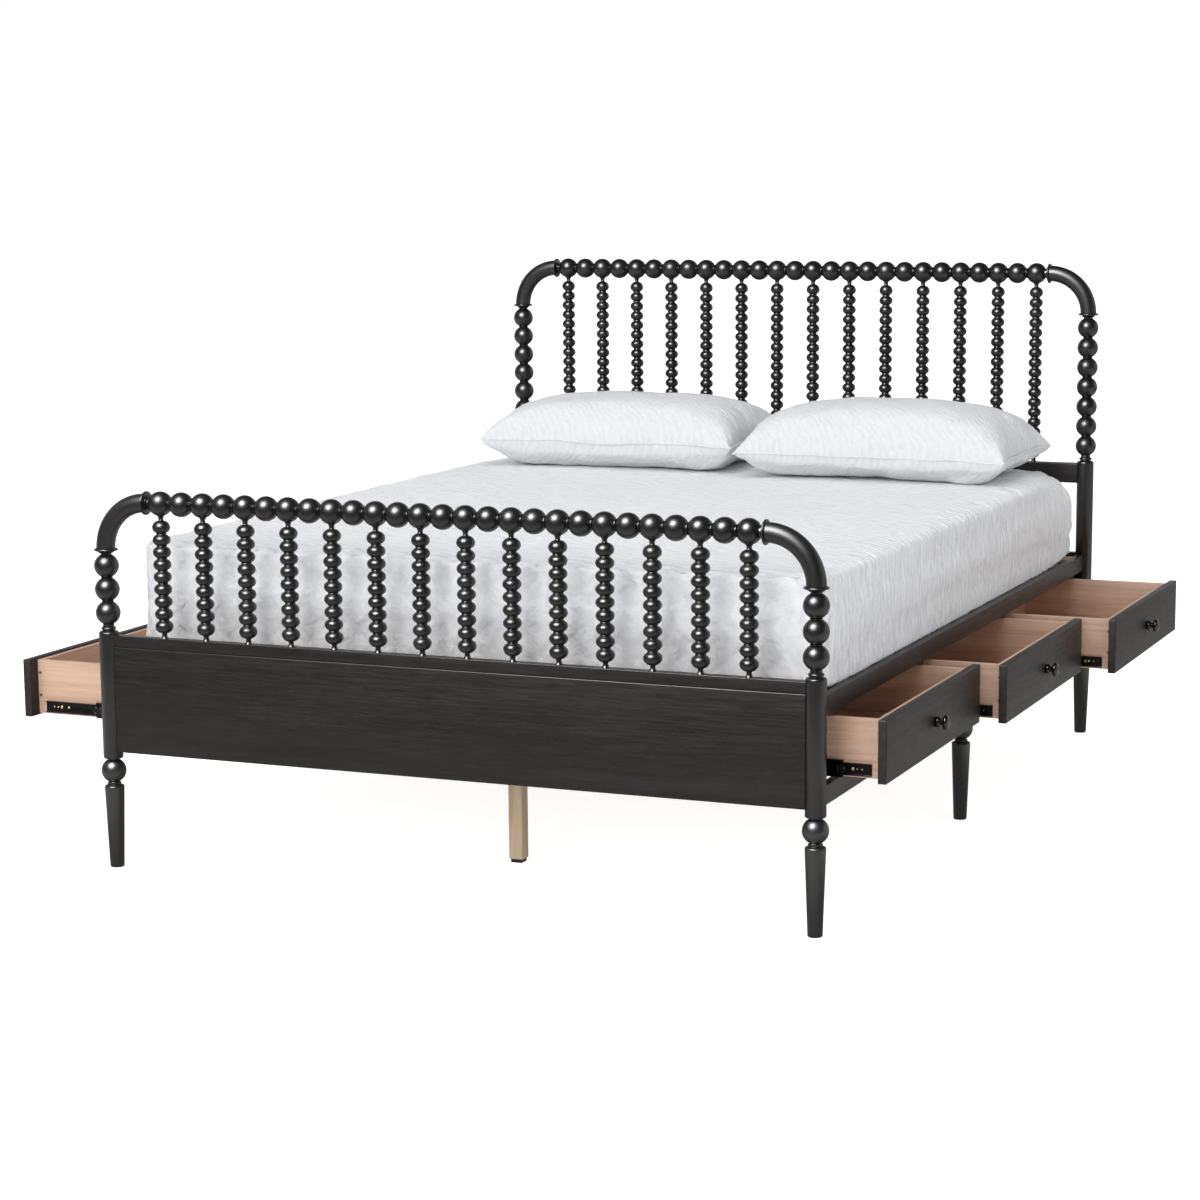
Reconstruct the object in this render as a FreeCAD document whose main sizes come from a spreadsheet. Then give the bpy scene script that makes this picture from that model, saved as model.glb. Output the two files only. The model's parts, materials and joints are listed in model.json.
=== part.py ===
import FreeCAD, Part
import math
import os
import re

from FreeCAD import Placement, Rotation, Vector

# Bed with turned bead rails, spindle boards at both ends, six side drawers, a mattress and two pillows.
# Millimetres, +Z up, +Y towards the headboard, origin on the floor under the middle of the bed.

doc = FreeCAD.newDocument("SpindleBed")

driving_sizes = {
    # posts and elbows
    "post_spacing_x": 1572,
    "post_spacing_y": 2132,
    "post_diameter": 42,
    "post_shoulder_height": 9,
    "foot_rail_rise": 318,
    "head_rail_rise": 714,
    "elbow_radius": 100,
    "elbow_tube_diameter": 38,
    "collar_to_ball": 36,
    "collar_diameter": 49,
    "collar_ring_diameter": 33,
    "collar_thickness": 8,
    "foot_post_balls": 3,
    "head_post_balls": 7,
    "post_ball_pitch": 50,
    "rail_ball_count": 27,
    "ball_diameter": 52,
    "ball_neck_diameter": 24,
    "ball_belt_height": 16,
    "joint_clearance": 0.15,
    # spindles
    "spindle_tenon_diameter": 12,
    "spindle_tenon_depth": 13,
    "spindle_waist_diameter": 20,
    "spindle_base_length": 25.5,
    "spindle_top_length": 23.5,
    "foot_bead_count": 9,
    "foot_bead_diameter": 38,
    "head_bead_count": 17,
    "head_bead_diameter": 34.5,
    # end boards
    "panel_thickness": 26,
    "panel_lift": 2,
    "cap_rail_height": 24,
    "cap_rail_thickness": 22,
    "cap_rail_drop": 4,
    "mid_rail_height": 50,
    "mid_rail_drop": 2,
    "head_board_gap": 180,
    # legs
    "leg_height": 237,
    "leg_ball_drop": 27,
    "leg_ball_diameter": 53,
    "leg_taper_drop": 59,
    "leg_top_diameter": 42,
    "leg_foot_diameter": 30,
    "middle_leg_inset": 16,
    "middle_leg_cap_height": 13,
    "leg_block_length": 120,
    "leg_block_depth": 40,
    # side frame
    "rail_proud": 5,
    "rail_thickness": 18,
    "upper_rail_height": 41,
    "lower_rail_height": 40,
    "rail_opening": 136,
    "end_stile_inset": 69.55,
    "stile_width": 36,
    "end_stile_width": 51.5,
    "stile_thickness": 18,
    "cross_board_thickness": 18,
    # platform
    "ledge_height": 20,
    "ledge_width": 40,
    "slat_count": 15,
    "slat_width": 70,
    "slat_thickness": 18,
    "slat_recess": 2,
    "slat_end_gap": 2,
    "slat_board_gap": 35,
    "beam_width": 40,
    "beam_height": 64,
    "centre_leg_side": 32,
    "centre_leg_count": 3,
    "centre_leg_inset": 343,
    "glide_height": 8,
    "glide_side": 26,
    "bracket_leg": 54,
    "bracket_thickness": 3,
    "bracket_height": 110,
    "bracket_lift": 15,
    # drawers
    "front_gap": 2.8,
    "front_bottom_gap": 4.5,
    "front_top_gap": 5.5,
    "front_thickness": 18,
    "closed_gap": 0.5,
    "box_board": 12,
    "box_lift": 4,
    "box_drop": 4,
    "bottom_board": 6,
    "bottom_lift": 6,
    "groove_depth": 6,
    "small_opening": 114,
    "middle_opening": 171.5,
    "large_opening": 251,
    "left_foot_opening": 261,
    "knob_diameter": 32,
    "knob_reach": 36,
    # slides
    "slide_length": 350,
    "slide_setback": 20,
    "slide_thickness": 12.7,
    "slide_lift": 16.5,
    "slide_steel": 1.2,
    "outer_member_height": 45,
    "middle_member_height": 34,
    "inner_member_height": 24.5,
    "member_step": 3.5,
    "member_gap": 1,
    "inner_flange_gap": 2,
    "ball_cage_length": 120,
    "ball_cage_inset": 30,
    "ball_cage_width": 3,
    "running_gap": 0.3,
    # soft pieces
    "mattress_height": 225,
    "mattress_side_gap": 4,
    "mattress_foot_gap": 71,
    "mattress_head_gap": 5,
    "mattress_corner": 70,
    "mattress_seam_inset": 18,
    "mattress_edge_inset": 90,
    "mattress_crown_inset": 330,
    "soft_clearance": 0.3,
    "pillow_margin": 56,
    "pillow_gap": 20,
    "pillow_depth": 450,
    "pillow_height": 182,
    "pillow_waist": 26,
    "pillow_bow": 20,
    "left_pillow_shift": 48,
    "right_pillow_shift": -8,
    "left_pillow_inset": 39,
    "right_pillow_inset": 89,
}

# Sizes and places that follow from the ones above, from the floor up and from the posts inwards
following_sizes = {
    "post_bottom_z": "leg_height",
    "leg_ball_z": "leg_height - leg_ball_drop",
    "leg_taper_top_z": "leg_height - leg_taper_drop",
    "lower_rail_bottom_z": "leg_height + middle_leg_cap_height",
    "upper_rail_bottom_z": "lower_rail_bottom_z + lower_rail_height + rail_opening",
    "foot_rail_z": "upper_rail_bottom_z + upper_rail_height + foot_rail_rise",
    "head_rail_z": "upper_rail_bottom_z + upper_rail_height + head_rail_rise",
    "post_top_length": "elbow_radius + collar_to_ball - post_ball_pitch / 2 + 2 * post_shoulder_height",
    "foot_barrel_end_z": "foot_rail_z - post_top_length - foot_post_balls * post_ball_pitch",
    "head_barrel_end_z": "head_rail_z - post_top_length - head_post_balls * post_ball_pitch",
    "cap_rail_top_z": "foot_barrel_end_z - cap_rail_drop",
    "foot_panel_top_z": "cap_rail_top_z - cap_rail_height",
    "mid_rail_top_z": "head_barrel_end_z - mid_rail_drop",
    "mid_rail_bottom_z": "mid_rail_top_z - mid_rail_height",
    "head_panel_top_z": "mid_rail_bottom_z - head_board_gap",
    "panel_bottom_z": "lower_rail_bottom_z + panel_lift",
    "foot_first_bead_z": "cap_rail_top_z + spindle_base_length",
    "head_first_bead_z": "mid_rail_top_z + spindle_base_length",
    "foot_last_bead_z": "foot_rail_z - ball_diameter / 2 - spindle_top_length",
    "head_last_bead_z": "head_rail_z - ball_diameter / 2 - spindle_top_length",
    "foot_bead_pitch": "(foot_last_bead_z - foot_first_bead_z) / (foot_bead_count - 1)",
    "head_bead_pitch": "(head_last_bead_z - head_first_bead_z) / (head_bead_count - 1)",
    "rail_face_x": "post_spacing_x / 2 + rail_proud",
    "middle_leg_x": "post_spacing_x / 2 - middle_leg_inset",
    "drawer_pitch": "(post_spacing_y - 2 * end_stile_inset) / 3",
    "centre_leg_pitch": "post_spacing_y / 2 - centre_leg_inset",
    "bracket_bottom_z": "lower_rail_bottom_z + lower_rail_height + bracket_lift",
    "front_bottom_z": "lower_rail_bottom_z + lower_rail_height + front_bottom_gap",
    "front_height": "rail_opening - front_bottom_gap - front_top_gap",
    "box_bottom_z": "front_bottom_z + box_lift",
    "box_height": "front_height - box_lift - box_drop",
    "knob_z": "front_bottom_z + front_height / 2",
    "slide_centre_z": "box_bottom_z + slide_lift",
    "mattress_width": "2 * (rail_face_x - rail_thickness - mattress_side_gap)",
    "mattress_length": "post_spacing_y - panel_thickness - mattress_foot_gap - mattress_head_gap",
    "mattress_head_y": "(post_spacing_y - panel_thickness) / 2 - mattress_head_gap",
    "pillow_width": "mattress_width / 2 - pillow_margin - pillow_gap",
    "left_pillow_x": "left_pillow_shift - mattress_width / 4",
    "right_pillow_x": "right_pillow_shift + mattress_width / 4",
    "left_pillow_y": "mattress_head_y - left_pillow_inset - pillow_depth / 2",
    "right_pillow_y": "mattress_head_y - right_pillow_inset - pillow_depth / 2",
}

sheet = doc.addObject("Spreadsheet::Sheet", "Sizes")
cells = {alias: str(value) for alias, value in driving_sizes.items()}
cells.update({alias: "=" + formula for alias, formula in following_sizes.items()})
for row, (alias, content) in enumerate(cells.items(), 1):
    sheet.set("A%d" % row, alias)
    sheet.set("B%d" % row, content)
    sheet.setAlias("B%d" % row, alias)
doc.recompute()

sub_parts = []


def note(item):
    """Keeps a finished sub-part: its Label names its file."""
    sub_parts.append(item)
    return item


class Dimensions:
    """The sheet's values, read by name."""

    def __getattr__(self, alias):
        return float(sheet.get(alias))


dim = Dimensions()


def bind(item, prop, formula):
    """Binds a property to a formula written in the sheet's names."""
    item.setExpression(prop, re.sub(r"[a-z]\w*", lambda word: "Sizes." + word[0], formula))


def block(label, x_span, y_span, z_span):
    """A board or bar between two places on each axis."""
    item = doc.addObject("Part::Box", label)
    spans = (x_span, y_span, z_span)
    for prop, axis, (low, high) in zip(("Length", "Width", "Height"), "xyz", spans):
        bind(item, prop, "(%s) - (%s)" % (high, low))
        bind(item, "Placement.Base." + axis, low)
    return item


def rod(label, diameter, x_place, y_place, z_span):
    """A round bar along Z."""
    low, high = z_span
    item = doc.addObject("Part::Cylinder", label)
    bind(item, "Radius", "(%s) / 2" % diameter)
    bind(item, "Height", "(%s) - (%s)" % (high, low))
    for axis, place in zip("xyz", (x_place, y_place, low)):
        bind(item, "Placement.Base." + axis, place)
    return item


def centred(middle, length):
    """A span of a length about its middle."""
    return ("%s - (%s) / 2" % (middle, length), "%s + (%s) / 2" % (middle, length))


def turned_over(span):
    """The same span on the other side of the middle plane."""
    low, high = span
    return ("-(%s)" % high, "-(%s)" % low)


def on_side(span, side):
    return span if side > 0 else turned_over(span)


def group(label, members):
    """Alike pieces kept as separate solids of one sub-part."""
    item = doc.addObject("Part::Compound", label)
    item.Links = members
    return item


def cut(label, base, tools):
    item = doc.addObject("Part::Cut", label)
    item.Base = base
    item.Tool = tools[0] if len(tools) == 1 else group(label + "_tools", tools)
    return item


def shaped(label, shape, placement=Placement()):
    item = doc.addObject("Part::Feature", label)
    item.Shape = shape
    item.Placement = placement
    return item


sides = {"left": -1, "right": 1}
ends = {"foot": -1, "head": 1}
rows = {"foot": -1, "middle": 0, "head": 1}

# Faces and levels that several pieces share
post_x = "post_spacing_x / 2"
post_y = "post_spacing_y / 2"
rail_inner_x = "(rail_face_x - rail_thickness)"
stile_inner_x = "(rail_face_x - rail_thickness - stile_thickness)"
panel_inner_y = "(post_spacing_y / 2 - panel_thickness / 2)"
lower_rail_top = "(lower_rail_bottom_z + lower_rail_height)"
upper_rail_top = "(upper_rail_bottom_z + upper_rail_height)"
slat_top = "(upper_rail_bottom_z + upper_rail_height - slat_recess)"
slat_bottom = "(upper_rail_bottom_z + upper_rail_height - slat_recess - slat_thickness)"
ledge_bottom = "(%s - ledge_height)" % slat_bottom
end_stile_inner_y = "(3 * drawer_pitch / 2 - stile_width / 2)"
end_stile_y = "(%s + end_stile_width)" % end_stile_inner_y


# Turned work: each turning is a stack of rings with flat facets between them

round_facets = 12
ball_facets = 8
bead_facets = 6


def skinned(rings, twisted=False):
    """A solid from closed rings of points, joined by flat facets, or by triangles where they would twist."""
    count = len(rings[0])
    outlines = [rings[0], rings[-1]]
    for lower, upper in zip(rings, rings[1:]):
        for point in range(count):
            after = (point + 1) % count
            corners = [lower[point], lower[after], upper[after], upper[point]]
            outlines += [corners[:3], corners[2:] + corners[:1]] if twisted else [corners]
    faces = [Part.Face(Part.makePolygon(outline + outline[:1])) for outline in outlines]
    shell = Part.makeShell(faces)
    shell.sewShape()
    solid = Part.makeSolid(shell)
    if solid.Volume < 0:
        solid.reverse()
    return solid


def ring(radius, facets):
    """Corners of a regular outline, turned so that a flat side faces along X."""
    angles = [math.pi * (2 * corner + 1) / facets for corner in range(facets)]
    return [Vector(radius * math.cos(angle), radius * math.sin(angle), 0) for angle in angles]


def turning(profile, facets):
    """A solid along Z from (radius, height) pairs."""
    rings = []
    for radius, height in profile:
        rings.append([corner + Vector(0, 0, height) for corner in ring(radius, facets)])
    return skinned(rings)


def ball_row(centres, start, end, ball_diameter, pitch):
    """Rings of a row of balls joined by necks, from a start height to an end height."""
    neck = dim.ball_neck_diameter / 2
    ball = ball_diameter / 2
    belt = dim.ball_belt_height / 2
    profile = [(neck, start)]
    for centre in centres:
        profile += [(neck, centre - pitch / 2), (ball, centre - belt), (ball, centre + belt)]
    return profile + [(neck, centres[-1] + pitch / 2), (neck, end)]


def rail_height(end):
    return dim.foot_rail_z if end == "foot" else dim.head_rail_z


def rail_ball_places():
    outermost = dim.post_spacing_x / 2 - dim.elbow_radius - dim.collar_to_ball
    count = int(dim.rail_ball_count)
    return [outermost * (2 * ball / (count - 1) - 1) for ball in range(count)]


def spindle_places():
    """A spindle stands under every other ball, none under the middle one."""
    places = rail_ball_places()
    middle = len(places) // 2
    return [place for ball, place in enumerate(places) if (ball - middle) % 2]


def make_post(end, side):
    balls = int(dim.foot_post_balls if end == "foot" else dim.head_post_balls)
    elbow_end = rail_height(end) - dim.elbow_radius
    top_ball = elbow_end - dim.collar_to_ball
    centres = [top_ball - dim.post_ball_pitch * ball for ball in range(balls)][::-1]
    barrel_end = dim.foot_barrel_end_z if end == "foot" else dim.head_barrel_end_z
    radius = dim.post_diameter / 2
    barrel = [(radius, dim.post_bottom_z), (radius, barrel_end)]
    shoulder_top = barrel_end + dim.post_shoulder_height
    collar_bottom = elbow_end - dim.collar_thickness
    upper = ball_row(centres, shoulder_top, collar_bottom, dim.ball_diameter, dim.post_ball_pitch)
    post = turning(barrel + upper, round_facets)
    foot = Vector(sides[side] * dim.post_spacing_x / 2, ends[end] * dim.post_spacing_y / 2, 0)
    note(shaped("%s_post_%s" % (end, side), post, Placement(foot, Rotation())))


def make_elbows():
    """A quarter bend from each post's top to its rail's end: one ring swung about the bend's centre."""
    steps = 6
    section = ring(dim.elbow_tube_diameter / 2, round_facets)
    start = [corner + Vector(dim.elbow_radius, 0, 0) for corner in section]
    rings = []
    for step in range(steps + 1):
        swing = Rotation(Vector(0, 1, 0), -90 * step / steps)
        rings.append([swing.multVec(corner) for corner in start])
    elbow = skinned(rings)
    members = []
    for end, end_sign in ends.items():
        for side, side_sign in sides.items():
            bend_x = side_sign * (dim.post_spacing_x / 2 - dim.elbow_radius)
            centre = Vector(bend_x, end_sign * dim.post_spacing_y / 2, rail_height(end) - dim.elbow_radius)
            facing = Rotation(Vector(0, 0, 1), 0 if side_sign > 0 else 180)
            members.append(shaped("elbow_%s_%s" % (end, side), elbow, Placement(centre, facing)))
    note(group("elbows", members))


def make_collars():
    """A flared disc and a smaller ring between each elbow end and the ball next to it."""
    disc = dim.collar_diameter / 2
    inner_ring = dim.collar_ring_diameter / 2
    ring_end_share = 0.35
    flare_end_share = 0.6
    thickness = dim.collar_thickness
    profile = [
        (inner_ring, 0),
        (inner_ring, thickness * ring_end_share),
        (disc, thickness * flare_end_share),
        (disc, thickness),
    ]
    collar = turning(profile, round_facets)
    members = []
    for end, end_sign in ends.items():
        y_place = end_sign * dim.post_spacing_y / 2
        for side, side_sign in sides.items():
            post_x_place = side_sign * dim.post_spacing_x / 2
            elbow_end = rail_height(end) - dim.elbow_radius
            on_post = Placement(Vector(post_x_place, y_place, elbow_end - thickness), Rotation())
            rail_x_place = side_sign * (dim.post_spacing_x / 2 - dim.elbow_radius - thickness)
            lying = Rotation(Vector(0, 1, 0), 90 * side_sign)
            on_rail = Placement(Vector(rail_x_place, y_place, rail_height(end)), lying)
            members.append(shaped("post_collar_%s_%s" % (end, side), collar, on_post))
            members.append(shaped("rail_collar_%s_%s" % (end, side), collar, on_rail))
    note(group("elbow_collars", members))


def socket_pegs(low, high):
    """What the spindle sockets take out of a rail: a peg of the tenon's outline with its clearance."""
    radius = dim.spindle_tenon_diameter / 2 + dim.joint_clearance
    peg = turning([(radius, low), (radius, high)], bead_facets)
    return [peg.translated(Vector(place, 0, 0)) for place in spindle_places()]


def make_top_rail(end):
    places = rail_ball_places()
    reach = dim.post_spacing_x / 2 - dim.elbow_radius - dim.collar_thickness
    pitch = places[1] - places[0]
    row = turning(ball_row(places, -reach, reach, dim.ball_diameter, pitch), ball_facets)
    row.rotate(Vector(0, 0, 0), Vector(0, 1, 0), 90)
    bottom = -dim.ball_diameter / 2
    socket_end = bottom + dim.spindle_tenon_depth + dim.joint_clearance
    rail = row.cut(Part.makeCompound(socket_pegs(bottom, socket_end)))
    middle = Vector(0, ends[end] * dim.post_spacing_y / 2, rail_height(end))
    note(shaped(end + "_top_rail", rail, Placement(middle, Rotation())))


def make_spindles(end):
    """Fourteen turned spindles: a row of beads between two tenons."""
    foot = end == "foot"
    count = int(dim.foot_bead_count if foot else dim.head_bead_count)
    pitch = dim.foot_bead_pitch if foot else dim.head_bead_pitch
    bead = (dim.foot_bead_diameter if foot else dim.head_bead_diameter) / 2
    first = dim.foot_first_bead_z if foot else dim.head_first_bead_z
    rail_below = dim.cap_rail_top_z if foot else dim.mid_rail_top_z
    rail_above = rail_height(end) - dim.ball_diameter / 2
    tenon = dim.spindle_tenon_diameter / 2
    waist = dim.spindle_waist_diameter / 2
    profile = [(tenon, rail_below - dim.spindle_tenon_depth), (tenon, rail_below + dim.joint_clearance)]
    for number in range(count):
        centre = first + pitch * number
        profile += [(waist, centre - pitch / 2), (bead, centre)]
    profile.append((waist, first + pitch * count - pitch / 2))
    profile += [(tenon, rail_above), (tenon, rail_above + dim.spindle_tenon_depth)]
    spindle = turning(profile, bead_facets)
    y_place = ends[end] * dim.post_spacing_y / 2
    spindles = [spindle.translated(Vector(place, y_place, 0)) for place in spindle_places()]
    note(shaped(end + "_spindles", Part.makeCompound(spindles)))


def make_legs():
    """Six turned legs: a taper under a ball, and under each side rail a cap above the ball."""
    ball = dim.leg_ball_diameter / 2
    neck = dim.ball_neck_diameter / 2
    belt = dim.ball_belt_height / 2
    top = dim.leg_top_diameter / 2
    profile = [
        (dim.leg_foot_diameter / 2, 0),
        (top, dim.leg_taper_top_z),
        (neck, 2 * dim.leg_ball_z - dim.post_bottom_z),
        (ball, dim.leg_ball_z - belt),
        (ball, dim.leg_ball_z + belt),
        (neck, dim.post_bottom_z),
    ]
    leg = turning(profile, round_facets)
    cap = [(top, dim.post_bottom_z), (top, dim.post_bottom_z + dim.middle_leg_cap_height)]
    capped = turning(profile + cap, round_facets)
    members = []
    for side, side_sign in sides.items():
        for end, end_sign in ends.items():
            corner = Vector(side_sign * dim.post_spacing_x / 2, end_sign * dim.post_spacing_y / 2, 0)
            members.append(shaped("leg_%s_%s" % (end, side), leg, Placement(corner, Rotation())))
        middle = Vector(side_sign * dim.middle_leg_x, 0, 0)
        members.append(shaped("leg_middle_%s" % side, capped, Placement(middle, Rotation())))
    note(group("turned_legs", members))


# End boards: panels and rails whose ends are hollowed to fit round the posts

def post_hollow(label, side, end, z_span):
    """What one post takes out of a board or rail that ends at it."""
    diameter = "post_diameter + 2 * joint_clearance"
    x_place = "%d * %s" % (sides[side], post_x)
    y_place = "%d * %s" % (ends[end], post_y)
    return rod("%s_hollow_%s_%s" % (label, end, side), diameter, x_place, y_place, z_span)


def end_board(label, end, thickness, z_span, socket_top=None):
    """A board from post to post, with sockets for the spindles in its top where that is given."""
    middle = "%d * %s" % (ends[end], post_y)
    board = block(label + "_board", ("-" + post_x, post_x), centred(middle, thickness), z_span)
    tools = [post_hollow(label, side, end, z_span) for side in sides]
    if socket_top:
        depth = dim.spindle_tenon_depth + dim.joint_clearance
        pegs = Part.makeCompound(socket_pegs(socket_top - depth, socket_top))
        row = Placement(Vector(0, ends[end] * dim.post_spacing_y / 2, 0), Rotation())
        tools.append(shaped(label + "_sockets", pegs, row))
    note(cut(label, board, tools))


def make_end_boards():
    end_board("foot_panel", "foot", "panel_thickness", ("panel_bottom_z", "foot_panel_top_z"))
    cap_span = ("foot_panel_top_z", "cap_rail_top_z")
    end_board("foot_cap_rail", "foot", "cap_rail_thickness", cap_span, dim.cap_rail_top_z)
    end_board("head_panel", "head", "panel_thickness", ("panel_bottom_z", "head_panel_top_z"))
    middle_span = ("mid_rail_bottom_z", "mid_rail_top_z")
    end_board("head_middle_rail", "head", "panel_thickness", middle_span, dim.mid_rail_top_z)


# Side frame

def side_rails(label, z_span):
    """A rail on each side from post to post, its ends hollowed round the posts."""
    members = []
    for side, sign in sides.items():
        name = "%s_%s" % (label, side)
        x_span = on_side((rail_inner_x, "rail_face_x"), sign)
        board = block(name + "_board", x_span, ("-" + post_y, post_y), z_span)
        hollows = [post_hollow(label, side, end, z_span) for end in ends]
        members.append(cut(name, board, hollows))
    note(group(label, members))


def make_side_frame():
    side_rails("upper_side_rails", ("upper_rail_bottom_z", upper_rail_top))
    side_rails("lower_side_rails", ("lower_rail_bottom_z", lower_rail_top))
    stiles = []
    blocks = []
    for side, sign in sides.items():
        for end_sign in ends.values():
            for y_span in (
                centred("%d * drawer_pitch / 2" % end_sign, "stile_width"),
                on_side((end_stile_inner_y, end_stile_y), end_sign),
            ):
                stiles.append(
                    block(
                        "stile_%s_%d" % (side, len(stiles)),
                        on_side((stile_inner_x, rail_inner_x), sign),
                        y_span,
                        ("lower_rail_bottom_z", ledge_bottom),
                    )
                )
        blocks.append(
            block(
                "leg_block_" + side,
                on_side((rail_inner_x + " - leg_block_depth", rail_inner_x), sign),
                centred("0", "leg_block_length"),
                ("lower_rail_bottom_z", lower_rail_top),
            )
        )
    note(group("stiles", stiles))
    note(group("middle_leg_blocks", blocks))


def make_cross_boards():
    """Boards on edge that carry the drawer slides, flush with the stiles' edges."""
    offset = "(stile_width - cross_board_thickness) / 2"
    places = []
    for sign in (-1, 1):
        places.append("%d * drawer_pitch / 2 - %s" % (sign, offset))
        places.append("%d * drawer_pitch / 2 + %s" % (sign, offset))
        places.append("%d * (3 * drawer_pitch / 2 - %s)" % (sign, offset))
    members = []
    for side, sign in sides.items():
        for place in places:
            members.append(
                block(
                    "cross_board_%d" % len(members),
                    on_side(("beam_width / 2", stile_inner_x), sign),
                    centred(place, "cross_board_thickness"),
                    ("lower_rail_bottom_z", ledge_bottom),
                )
            )
    note(group("cross_boards", members))


# Platform

def make_platform():
    ledges = [
        block(
            "slat_ledge_" + side,
            on_side((rail_inner_x + " - ledge_width", rail_inner_x), sign),
            ("-" + end_stile_y, end_stile_y),
            (ledge_bottom, slat_bottom),
        )
        for side, sign in sides.items()
    ]
    note(group("slat_ledges", ledges))
    slat_count = int(dim.slat_count)
    first = "(-%s + slat_board_gap + slat_width / 2)" % panel_inner_y
    slats = []
    for number in range(slat_count):
        share = 1 - 2 * number / (slat_count - 1)
        slats.append(
            block(
                "slat_%d" % number,
                ("-(%s - slat_end_gap)" % rail_inner_x, "%s - slat_end_gap" % rail_inner_x),
                centred("%.6f * %s" % (share, first), "slat_width"),
                (slat_bottom, slat_top),
            )
        )
    note(group("slats", slats))
    note(
        block(
            "centre_beam",
            centred("0", "beam_width"),
            ("-" + panel_inner_y, panel_inner_y),
            (slat_bottom + " - beam_height", slat_bottom),
        )
    )
    legs = []
    glides = []
    for number in range(int(dim.centre_leg_count)):
        place = "%s * centre_leg_pitch" % (number - (dim.centre_leg_count - 1) / 2)
        legs.append(
            block(
                "centre_leg_%d" % number,
                centred("0", "centre_leg_side"),
                centred(place, "centre_leg_side"),
                ("glide_height", slat_bottom + " - beam_height"),
            )
        )
        glides.append(
            block(
                "glide_%d" % number,
                centred("0", "glide_side"),
                centred(place, "glide_side"),
                ("0", "glide_height"),
            )
        )
    note(group("centre_legs", legs))
    note(group("centre_leg_glides", glides))


def make_brackets():
    """A steel angle in each inner corner, flat against the end stile and the end board."""
    height = ("bracket_bottom_z", "bracket_bottom_z + bracket_height")
    x_end = stile_inner_x + " - bracket_leg"
    y_end = panel_inner_y + " - bracket_leg"
    members = []
    for end, y_sign in ends.items():
        for side, x_sign in sides.items():
            name = "bracket_%s_%s" % (end, side)
            plate = block(
                name + "_plate",
                on_side((x_end, stile_inner_x), x_sign),
                on_side((y_end, panel_inner_y), y_sign),
                height,
            )
            inside = block(
                name + "_inside",
                on_side((x_end, stile_inner_x + " - bracket_thickness"), x_sign),
                on_side((y_end, panel_inner_y + " - bracket_thickness"), y_sign),
                height,
            )
            members.append(cut(name, plate, [inside]))
    note(group("corner_brackets", members))


# Drawers and their slides

openings = {
    ("right", "foot"): "small_opening",
    ("right", "middle"): "middle_opening",
    ("right", "head"): "large_opening",
    ("left", "foot"): "left_foot_opening",
    ("left", "middle"): "middle_opening",
    ("left", "head"): "small_opening",
}
closed_front_back = "(rail_face_x - rail_thickness + closed_gap)"
box_half_width = "((drawer_pitch - stile_width) / 2 - slide_thickness)"
box_depth = "(slide_length + slide_setback)"
slide_end = "(%s - slide_setback)" % closed_front_back


def make_drawer(side, row):
    """Front, five-board box and knob, standing open by this drawer's opening."""
    sign = sides[side]
    name = "drawer_%s_%s_" % (side, row)
    opening = openings[side, row]
    middle = "%d * drawer_pitch" % rows[row]
    front_back = "(%s + %s)" % (closed_front_back, opening)
    front_face = "(%s + front_thickness)" % front_back
    note(
        block(
            name + "front",
            on_side((front_back, front_face), sign),
            centred(middle, "drawer_pitch - front_gap"),
            ("front_bottom_z", "front_bottom_z + front_height"),
        )
    )
    box_end = "(%s - %s)" % (front_back, box_depth)
    height = ("box_bottom_z", "box_bottom_z + box_height")
    groove_z = ("box_bottom_z + bottom_lift", "box_bottom_z + bottom_lift + bottom_board")
    between = centred(middle, "2 * (%s - box_board)" % box_half_width)
    reach = "(%s - box_board + groove_depth)" % box_half_width
    inner_x = (box_end + " + box_board - groove_depth", front_back + " - box_board + groove_depth")
    boards = {
        "near_side": (
            on_side((box_end, front_back), sign),
            ("%s - %s" % (middle, box_half_width), "%s - %s + box_board" % (middle, box_half_width)),
        ),
        "far_side": (
            on_side((box_end, front_back), sign),
            ("%s + %s - box_board" % (middle, box_half_width), "%s + %s" % (middle, box_half_width)),
        ),
        "inner_front": (on_side((front_back + " - box_board", front_back), sign), between),
        "back": (on_side((box_end, box_end + " + box_board"), sign), between),
    }
    slack = "joint_clearance"
    groove = (
        on_side(("%s - %s" % (inner_x[0], slack), "%s + %s" % (inner_x[1], slack)), sign),
        centred(middle, "2 * (%s + %s)" % (reach, slack)),
        ("%s - %s" % (groove_z[0], slack), "%s + %s" % (groove_z[1], slack)),
    )
    members = []
    for board, (x_span, y_span) in boards.items():
        plain = block(name + board + "_plain", x_span, y_span, height)
        tool = block(name + board + "_groove", *groove)
        members.append(cut(name + board, plain, [tool]))
    members.append(block(name + "bottom", on_side(inner_x, sign), centred(middle, "2 * " + reach), groove_z))
    note(group(name + "box", members))


def make_knob(side, row):
    """A turned knob: foot bead, neck and mushroom head."""
    sign = sides[side]
    head = dim.knob_diameter / 2
    reach = dim.knob_reach
    radius_shares = (0.62, 0.62, 0.36, 0.4, 1, 1, 0.6)
    height_shares = (0, 0.1, 0.2, 0.5, 0.7, 0.84, 1)
    profile = [(head * radius, reach * height) for radius, height in zip(radius_shares, height_shares)]
    front_back = dim.rail_face_x - dim.rail_thickness + dim.closed_gap
    face = front_back + getattr(dim, openings[side, row]) + dim.front_thickness
    place = Vector(sign * face, rows[row] * dim.drawer_pitch, dim.knob_z)
    outwards = Rotation(Vector(0, 1, 0), 90 * sign)
    note(shaped("drawer_%s_%s_knob" % (side, row), turning(profile, ball_facets), Placement(place, outwards)))


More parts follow.
